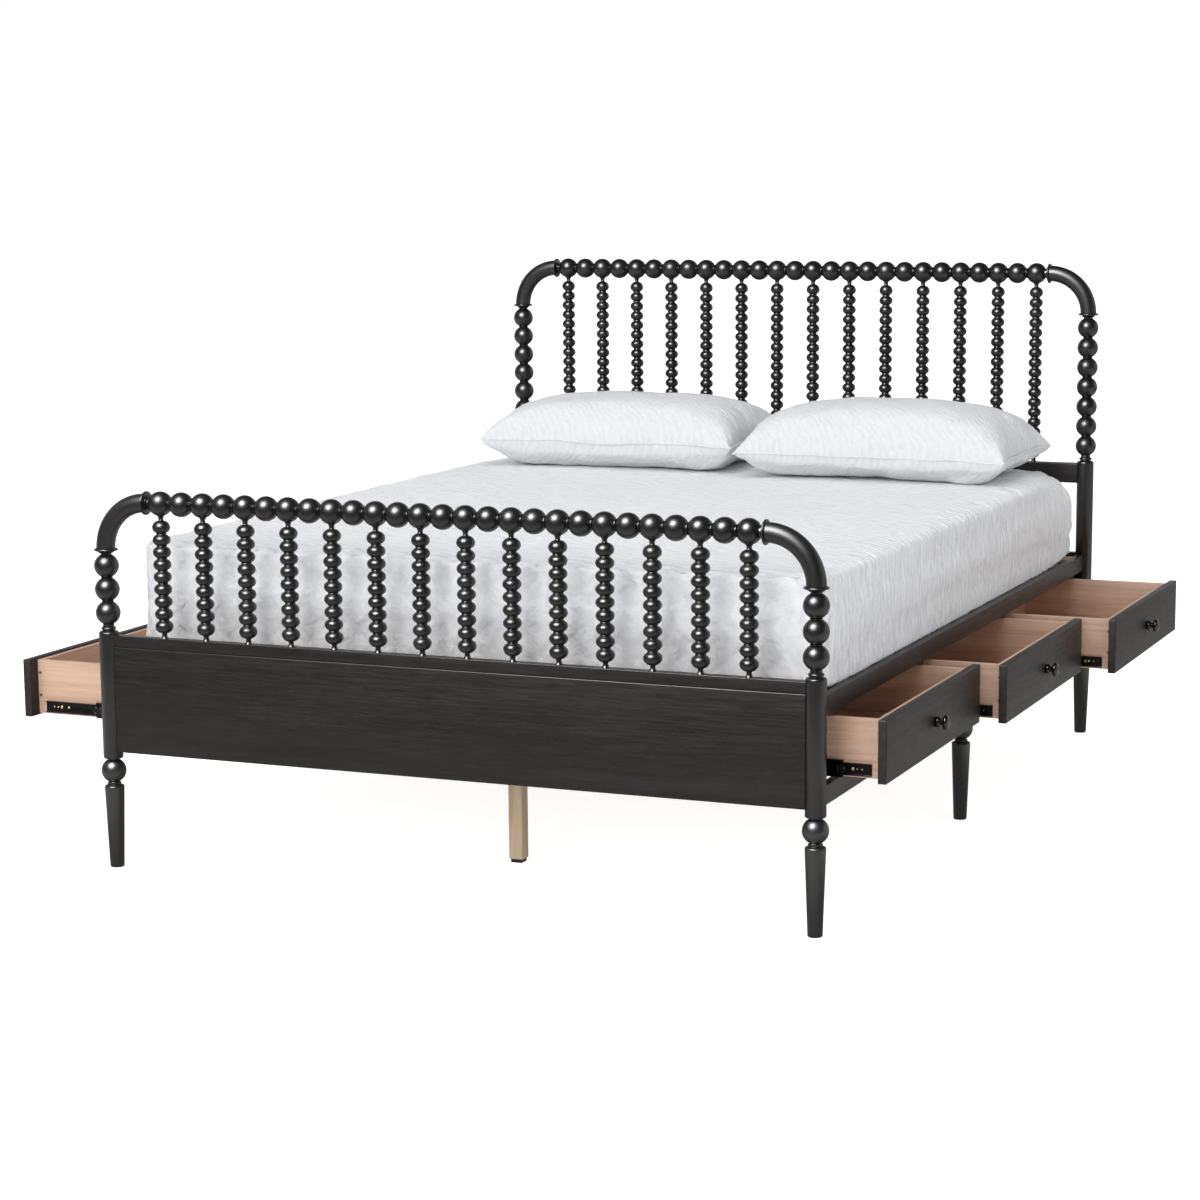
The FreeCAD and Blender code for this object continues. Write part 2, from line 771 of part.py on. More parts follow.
def channel(label, x_span, y_span, height, web_low):
    """A steel channel lying along X: a web on one Y side and two flanges."""
    z_span = centred("slide_centre_z", height)
    solid = block(label + "_blank", x_span, y_span, z_span)
    low, high = y_span
    hollow_y = (low + " + slide_steel", high) if web_low else (low, high + " - slide_steel")
    hollow_z = centred("slide_centre_z", height + " - 2 * slide_steel")
    hollow = block(label + "_hollow", x_span, hollow_y, hollow_z)
    return cut(label, solid, [hollow])


def across(middle, turn, span):
    """A span measured outwards from a drawer's middle, on either flank."""
    low, high = span
    if turn > 0:
        return ("%s + %s" % (middle, low), "%s + %s" % (middle, high))
    return ("%s - (%s)" % (middle, high), "%s - (%s)" % (middle, low))


middle_web = "(%s + slide_thickness - slide_steel - member_step)" % box_half_width
inner_flange = "(%s - member_gap)" % middle_web
middle_flange = "(%s + inner_flange_gap)" % box_half_width
outer_flange = "(%s + inner_flange_gap)" % middle_flange
board_face = "(%s + slide_thickness)" % box_half_width


def slide_member(label, side, middle, turn, x_span, y_span, height, web_inside):
    return channel(
        label, on_side(x_span, sides[side]), across(middle, turn, y_span), height, web_inside == (turn > 0)
    )


def make_slides(side, row):
    """Drawer members and middle members of one drawer's pair of slides; returns its cabinet members."""
    name = "slide_%s_%s_" % (side, row)
    opening = openings[side, row]
    middle = "%d * drawer_pitch" % rows[row]
    closed_x = ("%s - slide_length" % slide_end, slide_end)
    drawer_x = tuple("%s + %s" % (place, opening) for place in closed_x)
    halfway_x = tuple("%s + %s / 2" % (place, opening) for place in closed_x)
    inner, middles, outer = [], [], []
    for turn in (-1, 1):
        flank = "near" if turn < 0 else "far"
        inner.append(
            slide_member(
                name + "inner_" + flank,
                side,
                middle,
                turn,
                drawer_x,
                (box_half_width, inner_flange),
                "inner_member_height",
                True,
            )
        )
        middles.append(
            slide_member(
                name + "middle_" + flank,
                side,
                middle,
                turn,
                halfway_x,
                (middle_flange, middle_web + " + slide_steel"),
                "middle_member_height",
                False,
            )
        )
        outer.append(
            slide_member(
                name + "outer_" + flank,
                side,
                middle,
                turn,
                closed_x,
                (outer_flange, board_face),
                "outer_member_height",
                False,
            )
        )
        middles += make_ball_cages(name + flank, side, middle, turn, halfway_x)
    note(group("drawer_%s_%s_slide_rails" % (side, row), inner))
    note(group("slide_%s_%s_middle_members" % (side, row), middles))
    return outer


def make_ball_cages(name, side, middle, turn, member_x):
    """Ball cages above and below, between the inner and middle members and the middle and outer ones."""
    back, front = member_x
    inner_x = (front + " - ball_cage_inset - ball_cage_length", front + " - ball_cage_inset")
    outer_x = (back + " + ball_cage_inset", back + " + ball_cage_inset + ball_cage_length")
    inner_y = (inner_flange + " - ball_cage_width", inner_flange)
    outer_y = (outer_flange, outer_flange + " + ball_cage_width")
    gaps = {
        "inner": (inner_x, inner_y, "inner_member_height / 2", "middle_member_height / 2 - slide_steel"),
        "outer": (outer_x, outer_y, "middle_member_height / 2", "outer_member_height / 2 - slide_steel"),
    }
    cages = []
    for gap, (x_span, y_span, low, high) in gaps.items():
        for level, upward in {"lower": -1, "upper": 1}.items():
            z_span = on_side((low + " + running_gap", high + " - running_gap"), upward)
            cages.append(
                block(
                    "%s_%s_%s_cage" % (name, gap, level),
                    on_side(x_span, sides[side]),
                    across(middle, turn, y_span),
                    tuple("slide_centre_z + " + place for place in z_span),
                )
            )
    return cages


# Soft pieces

def rounded_outline(half_x, half_y, corner, height):
    """A level rectangle whose corners are quarter circles of a few chords."""
    steps = 4
    points = []
    for quarter, (x_sign, y_sign) in enumerate(((1, 1), (-1, 1), (-1, -1), (1, -1))):
        for step in range(steps + 1):
            angle = math.pi / 2 * (quarter + step / steps)
            x_place = x_sign * (half_x - corner) + corner * math.cos(angle)
            y_place = y_sign * (half_y - corner) + corner * math.sin(angle)
            points.append(Vector(x_place, y_place, height))
    return points


def make_mattress():
    """Crowned top, softly rounded edges and sides that draw in at both seams."""
    half_x = dim.mattress_width / 2
    half_y = dim.mattress_length / 2
    seam = dim.mattress_seam_inset
    height_shares = (0, 0.07, 0.45, 0.8, 0.91, 0.965, 1)
    seam_shares = (1, 0.35, 0, 0.35, 1)
    insets = [seam * share for share in seam_shares] + [dim.mattress_edge_inset, dim.mattress_crown_inset]
    outlines = []
    for share, inset in zip(height_shares, insets):
        height = dim.mattress_height * share
        outlines.append(rounded_outline(half_x - inset, half_y - inset, dim.mattress_corner, height))
    slats_at = dim.upper_rail_bottom_z + dim.upper_rail_height - dim.slat_recess
    middle = Vector(0, dim.mattress_head_y - half_y, slats_at + dim.soft_clearance)
    note(shaped("mattress", skinned(outlines), Placement(middle, Rotation())))


def bowed_outline(half_x, half_y, bow, height):
    """Four parabolas between pointed corners, bowed out or, where bow is negative, drawn in."""
    steps = 6
    quarters = ((1, 1), (-1, 1), (-1, -1), (1, -1))
    corners = [Vector(x_sign * half_x, y_sign * half_y, height) for x_sign, y_sign in quarters]
    outwards = (Vector(0, 1, 0), Vector(-1, 0, 0), Vector(0, -1, 0), Vector(1, 0, 0))
    points = []
    for number, out in enumerate(outwards):
        start = corners[number]
        along = corners[(number + 1) % len(corners)] - start
        for step in range(steps):
            way = step / steps
            points.append(start + along * way + out * (4 * bow * way * (1 - way)))
    return points


def make_pillow(side):
    """A crowned pillow: its outline swells from the seam, which is drawn in between pointed corners."""
    half_x = dim.pillow_width / 2
    half_y = dim.pillow_depth / 2
    bow = dim.pillow_bow
    height_shares = (0, 0.14, 0.4, 0.68, 0.88, 1)
    width_shares = (0.7, 0.88, 1, 0.88, 0.68, 0.36)
    depth_shares = (0.56, 0.8, 1, 0.8, 0.56, 0.26)
    bows = (bow, bow / 2, -dim.pillow_waist, bow / 2, bow, bow)
    outlines = []
    for height, width, depth, out in zip(height_shares, width_shares, depth_shares, bows):
        outlines.append(bowed_outline(half_x * width, half_y * depth, out, dim.pillow_height * height))
    slats_at = dim.upper_rail_bottom_z + dim.upper_rail_height - dim.slat_recess
    rest = slats_at + dim.mattress_height + 2 * dim.soft_clearance
    place = Vector(getattr(dim, side + "_pillow_x"), getattr(dim, side + "_pillow_y"), rest)
    note(shaped("pillow_" + side, skinned(outlines, twisted=True), Placement(place, Rotation())))


for end in ends:
    for side in sides:
        make_post(end, side)
    make_top_rail(end)
    make_spindles(end)
make_elbows()
make_collars()
make_legs()
make_end_boards()
make_side_frame()
make_cross_boards()
make_platform()
make_brackets()
outer_members = []
for side in sides:
    for row in rows:
        make_drawer(side, row)
        make_knob(side, row)
        outer_members += make_slides(side, row)
note(group("slide_cabinet_members", outer_members))
make_mattress()
for side in sides:
    make_pillow(side)

doc.recompute()
for item in doc.Objects:
    if {"Invalid", "Error"} & set(item.State):
        raise RuntimeError("failed: %s %s" % (item.Label, item.State))
os.makedirs("parts", exist_ok=True)
for item in sub_parts:
    if item.Shape.isNull() or not item.Shape.isValid():
        raise RuntimeError("bad shape: " + item.Label)
    item.Shape.exportStep("parts/%s.step" % item.Label)
print(len(sub_parts), "sub-parts,", sum(len(item.Shape.Solids) for item in sub_parts), "solids")
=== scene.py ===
import bpy
import json
import math
import numpy as np
from mathutils import Matrix, Vector

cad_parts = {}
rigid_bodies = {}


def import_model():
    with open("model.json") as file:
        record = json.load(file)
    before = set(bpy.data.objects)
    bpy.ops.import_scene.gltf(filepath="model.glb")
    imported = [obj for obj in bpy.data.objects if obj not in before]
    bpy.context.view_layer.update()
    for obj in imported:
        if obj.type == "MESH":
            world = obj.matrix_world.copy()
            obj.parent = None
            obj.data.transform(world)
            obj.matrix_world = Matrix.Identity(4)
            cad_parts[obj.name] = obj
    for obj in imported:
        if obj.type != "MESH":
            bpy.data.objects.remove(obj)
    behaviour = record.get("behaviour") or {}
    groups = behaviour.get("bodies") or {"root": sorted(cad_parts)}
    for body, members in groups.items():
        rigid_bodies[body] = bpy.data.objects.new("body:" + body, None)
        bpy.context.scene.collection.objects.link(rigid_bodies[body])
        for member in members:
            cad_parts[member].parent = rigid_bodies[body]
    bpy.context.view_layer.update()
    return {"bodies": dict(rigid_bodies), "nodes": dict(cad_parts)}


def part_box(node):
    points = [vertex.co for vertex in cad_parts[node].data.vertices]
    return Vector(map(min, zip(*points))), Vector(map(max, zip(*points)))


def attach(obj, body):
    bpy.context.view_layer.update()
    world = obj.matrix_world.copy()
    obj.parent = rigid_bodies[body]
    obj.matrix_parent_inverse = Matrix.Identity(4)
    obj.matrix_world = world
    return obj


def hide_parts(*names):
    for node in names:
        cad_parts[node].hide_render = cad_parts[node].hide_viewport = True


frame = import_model()
print("frame loaded:", len(frame["nodes"]), "nodes")

mm = 0.001
sides = {"left": -1, "right": 1}
bedEnds = {"foot": -1, "head": 1}
rows = ("foot", "middle", "head")
scene = bpy.context.scene
scene.view_settings.view_transform = "Standard"


# Camera at the photograph's place

cameraSet = {
    "place": (2.563, -6.308, 1.525),
    "lens": 88.30,
    "sensor": 36.0,
    "shift": (-0.02395, 0.0411),
    "yaw": 22.427,
    "pitch": 9.84,
    "roll": -0.377,
}


def makeCamera():
    yaw, pitch, roll = (math.radians(cameraSet[key]) for key in ("yaw", "pitch", "roll"))
    right = Vector((math.cos(yaw), math.sin(yaw), 0))
    ahead = Vector((-math.sin(yaw) * math.cos(pitch), math.cos(yaw) * math.cos(pitch), -math.sin(pitch)))
    above = right.cross(ahead)
    across = math.cos(roll) * right + math.sin(roll) * above
    upward = -math.sin(roll) * right + math.cos(roll) * above
    turn = Matrix((across, upward, -ahead)).transposed().to_4x4()
    data = bpy.data.cameras.new("camera")
    data.lens = cameraSet["lens"]
    data.sensor_width = cameraSet["sensor"]
    data.shift_x, data.shift_y = cameraSet["shift"]
    data.clip_end = 100
    camera = bpy.data.objects.new("camera", data)
    camera.matrix_world = Matrix.Translation(cameraSet["place"]) @ turn
    scene.collection.objects.link(camera)
    scene.camera = camera


makeCamera()


# Node trees

def feed(tree, node, inputs):
    # each named input takes a link from another node's output, or a plain value
    for key, value in inputs.items():
        if isinstance(value, bpy.types.NodeSocket):
            tree.links.new(value, node.inputs[key])
        else:
            node.inputs[key].default_value = value


def addNode(tree, kind, inputs=(), **settings):
    node = tree.nodes.new("ShaderNode" + kind)
    for key, value in settings.items():
        setattr(node, key, value)
    feed(tree, node, dict(inputs))
    return node


def newTree(owner, outputKind):
    # an empty node tree with its output node
    owner.use_nodes = True
    tree = owner.node_tree
    tree.nodes.clear()
    return tree, addNode(tree, outputKind)


def newMaterial(name):
    material = bpy.data.materials.new(name)
    tree, output = newTree(material, "OutputMaterial")
    shader = addNode(tree, "BsdfPrincipled")
    feed(tree, output, {0: shader.outputs[0]})
    return material, tree, shader


def mathNode(tree, operation, first, second):
    return addNode(tree, "Math", {0: first, 1: second}, operation=operation).outputs[0]


def weightedSum(tree, *terms):
    # sum of value * weight over the terms
    parts = [mathNode(tree, "MULTIPLY", value, weight) for value, weight in terms]
    total = parts[0]
    for part in parts[1:]:
        total = mathNode(tree, "ADD", total, part)
    return total


def noiseNode(tree, vector, scale, detail=3.0, rough=0.55, warp=0.0):
    inputs = {"Vector": vector, "Scale": scale, "Detail": detail, "Roughness": rough, "Distortion": warp}
    return addNode(tree, "TexNoise", inputs).outputs["Fac"]


def rampNode(tree, value, *stops):
    node = addNode(tree, "ValToRGB", {0: value})
    elements = node.color_ramp.elements
    while len(elements) < len(stops):
        elements.new(0.5)
    for element, (place, colour) in zip(elements, stops):
        element.position = place
        element.color = (*colour, 1)
    return node.outputs["Color"]


def rangeNode(tree, value, low, high, fromLow=0.3, fromHigh=0.7):
    inputs = {"Value": value, "From Min": fromLow, "From Max": fromHigh, "To Min": low, "To Max": high}
    return addNode(tree, "MapRange", inputs).outputs[0]


def mappedCoordinates(tree, stretch=(1, 1, 1), attribute=None):
    # object coordinates, or the piece's own attribute, stretched by a factor on each axis
    if attribute:
        source = addNode(tree, "Attribute", attribute_name=attribute).outputs["Vector"]
    else:
        source = addNode(tree, "TexCoord").outputs["Object"]
    return addNode(tree, "Mapping", {"Vector": source, "Scale": stretch}).outputs[0]


def axesOf(tree, vector):
    return addNode(tree, "SeparateXYZ", {0: vector}).outputs


def bumpNode(tree, height, strength, distance):
    return addNode(tree, "Bump", {"Height": height, "Strength": strength, "Distance": distance}).outputs[0]


def blend(first, second, share):
    return tuple(a + (b - a) * share for a, b in zip(first, second))


# Materials

lacquerSet = {
    "dark": (0.0032, 0.0027, 0.0030),
    "light": (0.0056, 0.0048, 0.0051),
    "shine": (0.75, 0.10),  # specular level face on and at the rim
    "edge": (0.5, 0.95),
}
boardSet = {"dark": (0.0095, 0.0074, 0.0068), "light": (0.0195, 0.0158, 0.0145), "grain": 0.8}
frontSet = {"dark": (0.0068, 0.0050, 0.0042), "light": (0.0250, 0.0192, 0.0160), "grain": 0.75}
drawerWoodSet = {"dark": (0.44, 0.25, 0.162), "light": (0.68, 0.452, 0.326), "grain": 1.0}
rawWoodSet = {"dark": (0.45, 0.335, 0.21), "light": (0.65, 0.525, 0.37), "grain": 1.0}
slatWoodSet = {"dark": (0.40, 0.27, 0.16), "light": (0.62, 0.45, 0.29), "grain": 1.0}
clothSet = {"wander": 15.0, "crumples": 48.0, "weave": 1300.0, "bump": 0.9, "sheen": 0.08}
mattressKnitSet = {
    "colour": (0.925, 0.925, 0.935),
    "shade": (0.82, 0.825, 0.85),
    "pitches": (0.060, 0.0225),
    "ridge": 0.0096,
    "grid": (11, 26, 12),
}
pillowCottonSet = {
    "colour": (0.76, 0.76, 0.775),
    "shade": (0.71, 0.71, 0.735),
    "pitches": (0.020, 0.016),
    "ridge": 0.0027,
    "grid": (24, 24, 24),
}


def turnedLacquer(name, roughLow, roughHigh, marks=0.04, shine=lacquerSet["shine"]):
    # a coated black finish: colour and roughness follow slow noise, the bump is fine noise like sanding
    # marks, and the shine changes from face on to the rim
    material, tree, shader = newMaterial(name)
    place = mappedCoordinates(tree)
    slow = noiseNode(tree, place, 9.0, 2.0)
    fine = noiseNode(tree, place, 420.0, 4.0, 0.6)
    facing = addNode(tree, "LayerWeight", {"Blend": 0.5}).outputs["Facing"]
    feed(tree, shader, {
        "Base Color": rampNode(tree, slow, (0.35, lacquerSet["dark"]), (0.7, lacquerSet["light"])),
        "Roughness": rangeNode(tree, slow, roughLow, roughHigh),
        "Specular IOR Level": rangeNode(tree, facing, *shine, *lacquerSet["edge"]),
        "Normal": bumpNode(tree, fine, marks, 0.0005),
    })
    return material


def grained(name, settings, rough, stretch=(2.2, 46.0, 46.0), bump=0.35, pores=0.5, shine=0.5):
    # wood on the board's own coordinates = 0.5 rings, far longer than wide, + 0.3 fibre + 0.2 slow patches
    material, tree, shader = newMaterial(name)
    grainAt = lambda share: mappedCoordinates(tree, tuple(share * value for value in stretch), "grain")
    rings = noiseNode(tree, grainAt(1), 1.0, 3.0, 0.6, 0.7)
    fibre = noiseNode(tree, grainAt(7), 1.0, 4.0, 0.65, 0.2)
    patches = noiseNode(tree, grainAt(0.22), 1.0, 2.0)
    mixed = weightedSum(tree, (rings, 0.5), (fibre, 0.3), (patches, 0.2))
    spread, dark, light = 0.17 * settings["grain"], settings["dark"], settings["light"]
    middle = blend(dark, light, pores)
    feed(tree, shader, {
        "Base Color": rampNode(tree, mixed, (0.5 - spread, dark), (0.5, middle), (0.5 + spread, light)),
        "Roughness": rangeNode(tree, fibre, rough - 0.07, rough + 0.08),
        "Specular IOR Level": shine,
        "Normal": bumpNode(tree, mixed, bump, 0.0008),
    })
    return material


def marked(name, colour, rough, scale, detail, darker, roughSpread, bump, metallic=0.0):
    # steel or moulded plastic: one noise gives darker marks in the colour, the roughness and the bump
    material, tree, shader = newMaterial(name)
    marks = noiseNode(tree, mappedCoordinates(tree), scale, *detail)
    feed(tree, shader, {
        "Base Color": rampNode(tree, marks, (0.3, blend(colour, (0, 0, 0), darker)), (0.7, colour)),
        "Roughness": rangeNode(tree, marks, rough - roughSpread[0], rough + roughSpread[1]),
        "Metallic": metallic,
        "Normal": bumpNode(tree, marks, bump, 0.0003),
    })
    return material


def metal(name, colour, rough):
    return marked(name, colour, rough, 160.0, (4.0, 0.6), 0.25, (0.06, 0.1), 0.15, metallic=1.0)


def crinkledCloth(name, s):
    # woven cotton; height = 0.22 waves + 0.7 folds + 0.13 crumples + 0.05 threads; waves, strong in patches
    # = sine of (x / first pitch + y / second pitch + wander * slow noise); the grid stretches the slow noises
    material, tree, shader = newMaterial(name)
    place, onGrid = mappedCoordinates(tree), mappedCoordinates(tree, s["grid"])
    turnsAlong = tuple(2 * math.pi / pitch for pitch in s["pitches"])
    x, y, _ = axesOf(tree, mappedCoordinates(tree, (*turnsAlong, 1)))
    slow = noiseNode(tree, onGrid, 1.0, 3.0, 0.55, 0.4)
    turns = weightedSum(tree, (x, 1.0), (y, 1.0), (slow, clothSet["wander"]))
    patches = rangeNode(tree, noiseNode(tree, onGrid, 1.3, 2.0), 0.2, 1.0, 0.38, 0.60)
    waves = mathNode(tree, "MULTIPLY", mathNode(tree, "SINE", turns, 0), patches)
    folds = noiseNode(tree, onGrid, 2.4, 3.0, 0.6, 0.8)
    crumples = noiseNode(tree, place, clothSet["crumples"], 2.0, 0.55, 0.5)
    threads = noiseNode(tree, place, clothSet["weave"], 2.0, 0.5)
    height = weightedSum(tree, (waves, 0.22), (folds, 0.7), (crumples, 0.13), (threads, 0.05))
    # the colour turns to the shade colour where the height is low: painted shade in the folds, crinkles and
    # wave troughs
    feed(tree, shader, {
        "Base Color": rampNode(tree, height, (0.25, s["shade"]), (0.55, s["colour"])),
        "Roughness": rangeNode(tree, folds, 0.82, 0.95),
        "Specular IOR Level": 0.25,
        "Sheen Weight": clothSet["sheen"],
        "Sheen Roughness": 0.5,
        "Normal": bumpNode(tree, height, clothSet["bump"], s["ridge"]),
    })
    return material


satinBlack = turnedLacquer("satin black lacquer", 0.31, 0.37)
mattBlack = turnedLacquer("matt black elbow lacquer", 0.36, 0.43, marks=0.015)
legBlack = turnedLacquer("satin black leg lacquer", 0.33, 0.40, shine=(1.0, 0.14))
glossBlack = turnedLacquer("gloss black lacquer", 0.20, 0.28)
boardBlack = grained("black stained board", boardSet, 0.40, bump=0.18, shine=0.36)
frontGrain = grained("dark grained front", frontSet, 0.50, (2.6, 60.0, 60.0), 0.5, pores=0.6, shine=0.36)
drawerWood = grained("drawer wood", drawerWoodSet, 0.55, (3.0, 85.0, 85.0), pores=0.6)
rawWood = grained("raw pine", rawWoodSet, 0.62, pores=0.6)
slatWood = grained("slat wood", slatWoodSet, 0.62, pores=0.5)
slideBlack = metal("black slide steel", (0.035, 0.035, 0.037), 0.34)
bracketSteel = metal("bracket steel", (0.10, 0.10, 0.105), 0.42)
screwZinc = metal("zinc yellow screw", (0.80, 0.62, 0.30), 0.28)
screwBronze = metal("bronzed screw", (0.20, 0.085, 0.055), 0.42)
glidePlastic = marked("black glide", (0.020,) * 3, 0.5, 900.0, (2.0,), 0.3, (0.05, 0.05), 0.1)
mattressKnit = crinkledCloth("mattress knit", mattressKnitSet)
pillowCotton = crinkledCloth("pillow cotton", pillowCottonSet)
print("materials ready")


# Mesh parts: a part is (points n by 3, list of face arrays, grain coordinates n by 3)

def joined(parts):
    points = np.concatenate([part[0] for part in parts])
    grain = np.concatenate([part[2] for part in parts])
    starts = np.cumsum([0] + [len(part[0]) for part in parts[:-1]])
    faces = [array + start for start, part in zip(starts, parts) for array in part[1]]
    return points, faces, grain


def moved(part, offset):
    return part[0] + np.asarray(offset, float), part[1], part[2]


def turnedTo(part, axis, sign=1):
    # a part made along Z is laid along X or Y; each is a turn, never a mirror
    x, y, z = part[0].T
    laid = (sign * z, y, -sign * x) if axis == "x" else (x, sign * z, -sign * y)
    return np.stack(laid, 1), part[1], part[2]


def flipped(part):
    return part[0], [array[:, ::-1] for array in part[1]], part[2]


def makePiece(name, part, material, slotName, nodes, smooth=True, sharpAngle=None):
    points, faces, grain = part
    mesh = bpy.data.meshes.new(name)
    corners = np.concatenate([array.ravel() for array in faces]).astype(np.int32)
    sizes = np.concatenate([np.full(len(array), array.shape[1]) for array in faces])
    starts = np.concatenate(([0], np.cumsum(sizes)[:-1])).astype(np.int32)
    mesh.vertices.add(len(points))
    mesh.vertices.foreach_set("co", points.astype(np.float32).ravel())
    mesh.loops.add(len(corners))
    mesh.loops.foreach_set("vertex_index", corners)
    mesh.polygons.add(len(starts))
    mesh.polygons.foreach_set("loop_start", starts)
    mesh.update(calc_edges=True)
    mesh.validate()
    layer = mesh.attributes.new("grain", "FLOAT_VECTOR", "POINT")
    layer.data.foreach_set("vector", grain.astype(np.float32).ravel())
    mesh.polygons.foreach_set("use_smooth", np.full(len(mesh.polygons), smooth))
    if smooth and sharpAngle:
        mesh.set_sharp_from_angle(angle=math.radians(sharpAngle))
    mesh.materials.append(material)
    piece = bpy.data.objects.new(name, mesh)
    scene.collection.objects.link(piece)
    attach(piece, bodyOf(nodes[0]))
    return piece


def bodyOf(node):
    parent = frame["nodes"][node].parent
    return next(body for body, empty in frame["bodies"].items() if empty == parent)


def standFor(name, part, material, slotName, *nodes, **looks):
    piece = makePiece(name, part, material, slotName, nodes, **looks)
    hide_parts(*nodes)
    return piece


def boxOf(node):
    low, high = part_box(node)
    return np.array(low, float), np.array(high, float)


def solidsOf(node):
    # lowest and highest corner of each loose solid: a triangle spreads its lowest label until none changes
    mesh = frame["nodes"][node].data
    points = np.empty(len(mesh.vertices) * 3)
    mesh.vertices.foreach_get("co", points)
    points = points.reshape(-1, 3)
    corners = np.empty(len(mesh.loops), int)
    mesh.loops.foreach_get("vertex_index", corners)
    places, merged = np.unique(np.round(points, 6), axis=0, return_inverse=True)
    triangles = merged.ravel()[corners].reshape(-1, 3)
    labels = np.arange(len(places))
    while True:
        lowest = labels[triangles].min(axis=1)
        spread = labels.copy()
        for column in range(3):
            np.minimum.at(spread, triangles[:, column], lowest)
        if (spread == labels).all():
            break
        labels = spread
    return [(places[labels == label].min(0), places[labels == label].max(0)) for label in np.unique(labels)]


# Rings of points and their faces

def ringQuads(count, segments, closed=False):
    # quads between neighbouring rings; a closed row joins its last ring to its first
    here = np.arange(count if closed else count - 1)[:, None] * segments
    onward = (here + segments) % (count * segments)
    step = np.arange(segments)[None, :]
    after = (step + 1) % segments
    return np.stack((here + step, here + after, onward + after, onward + step), 2).reshape(-1, 4)


def openRings(points):
    # points = rings by segments by 3; a flat face closes each end
    count, segments = points.shape[:2]
    step = np.arange(segments)
    ends = np.stack((step[::-1], (count - 1) * segments + step))
    points = points.reshape(-1, 3)
    return points, [ringQuads(count, segments), ends], points


def closedTube(path, radius, segments, upright):
    # a tube round a closed path: point = path + radius (across cos a + above sin a), both square to the path
    ahead = np.roll(path, -1, 0) - np.roll(path, 1, 0)
    ahead /= np.linalg.norm(ahead, axis=1, keepdims=True)
    across = np.cross(ahead, upright)
    across /= np.linalg.norm(across, axis=1, keepdims=True)
    above = np.cross(across, ahead)
    angle = np.linspace(0, 2 * np.pi, segments, endpoint=False)[None, :, None]
    points = path[:, None] + radius * (np.cos(angle) * across[:, None] + np.sin(angle) * above[:, None])
    points = points.reshape(-1, 3)
    return points, [ringQuads(len(path), segments, closed=True)[:, (0, 3, 2, 1)]], points


# Turned work: a profile of (radius, height) carried round an axis

def revolved(profile, segments):
    # point = (radius cos a, radius sin a, height)
    profile = np.asarray(profile, float)
    angles = np.linspace(0, 2 * np.pi, segments, endpoint=False)
    radius, height = profile[:, :1], profile[:, 1:]
    height = np.broadcast_to(height, (len(profile), segments))
    return openRings(np.stack((radius * np.cos(angles), radius * np.sin(angles), height), 2))


def smoothLine(points, steps):
    # a line through every point, bent by the Catmull and Rom formula
    points = np.asarray(points, float)
    padded = np.concatenate((2 * points[:1] - points[1:2], points, 2 * points[-1:] - points[-2:-1]))
    t = np.linspace(0, 1, steps, endpoint=False)[None, :, None]
    a, b, c, d = (padded[i:len(padded) - 3 + i][:, None] for i in range(4))
    square, cube = 2 * a - 5 * b + 4 * c - d, 3 * b - a - 3 * c + d
    line = 0.5 * (2 * b + (c - a) * t + square * t ** 2 + cube * t ** 3)
    return np.concatenate((line.reshape(-1, points.shape[1]), points[-1:]))


def ballProfile(centre, radius, halfLength, neck, steps, fullness=1.0):
    # radius times sine to the fullness, height by cosine, cut off where it meets the neck's radius
    cut = math.asin((neck / radius) ** (1 / fullness))
    angles = np.linspace(math.pi - cut, cut, steps)
    return np.stack((radius * np.sin(angles) ** fullness, centre + halfLength * np.cos(angles)), 1)


def ringProfile(centre, neck, rise, width):
    # a low ring on a neck between two balls
    radius = neck + np.array((0, rise, rise, 0))
    height = centre + np.array((-1, -0.35, 0.35, 1)) * width / 2
    return np.column_stack((radius, height))


def beadRow(centres, radius, halfLength, neck, steps, ringRise, ringWidth, fullness=1.0):
    # a ball at each centre, and a ring halfway to the one before
    profiles = []
    for number, centre in enumerate(centres):
        if number:
            between = (centre + centres[number - 1]) / 2
            profiles.append(ringProfile(between, neck * 0.97, ringRise, ringWidth))
        profiles.append(ballProfile(centre, radius, halfLength, neck, steps, fullness))
    return np.concatenate(profiles)


turningSet = {
    "ballRadius": 26.0,
    "ballNeck": 11.6,
    "ballSteps": 15,
    "segments": 32,
    "postRadius": 21.0,
    "postBottom": 237.0,
    "barrelEnd": {"foot": 506.0, "head": 702.0},
    "railHeight": {"foot": 785.0, "head": 1181.0},
    "balls": {"foot": 3, "head": 7},
    "pitch": 50.0,
    "topBallDrop": 136.0,
    "collarDrop": 100.0,
    "postX": 786.0,
    "postY": 1066.0,
}


def postProfile(end):
    # barrel, rounded shoulder, base ring, stacked balls, and the neck that runs into the collar
    s = turningSet
    r, shoulder = s["postRadius"], s["barrelEnd"][end]
    top = s["railHeight"][end] - s["topBallDrop"]
    centres = [top - s["pitch"] * number for number in range(s["balls"][end])][::-1]
    barrel = [(r - 1.6, s["postBottom"]), (r, s["postBottom"] + 1.8), (r, shoulder - 1)]
    turn = [(r, shoulder - 0.5), (r - 0.9, shoulder + 2.2), (r - 3.4, shoulder + 3.9), (15.0, shoulder + 4.6)]
    base = [(13.2, shoulder + 5.0), (13.0, shoulder + 6.5)]
    ring = [(15.2, shoulder + 8.0), (16.0, shoulder + 9.6), (15.6, shoulder + 11.4), (12.4, shoulder + 13.2)]
    balls = beadRow(centres, s["ballRadius"], s["ballRadius"], s["ballNeck"], s["ballSteps"], 1.3, 3.0)
    neck = [(s["ballNeck"], s["railHeight"][end] - s["collarDrop"] - 7.6)]
    return np.concatenate((barrel, smoothLine(turn, 3), base, ring, balls, neck)) * mm


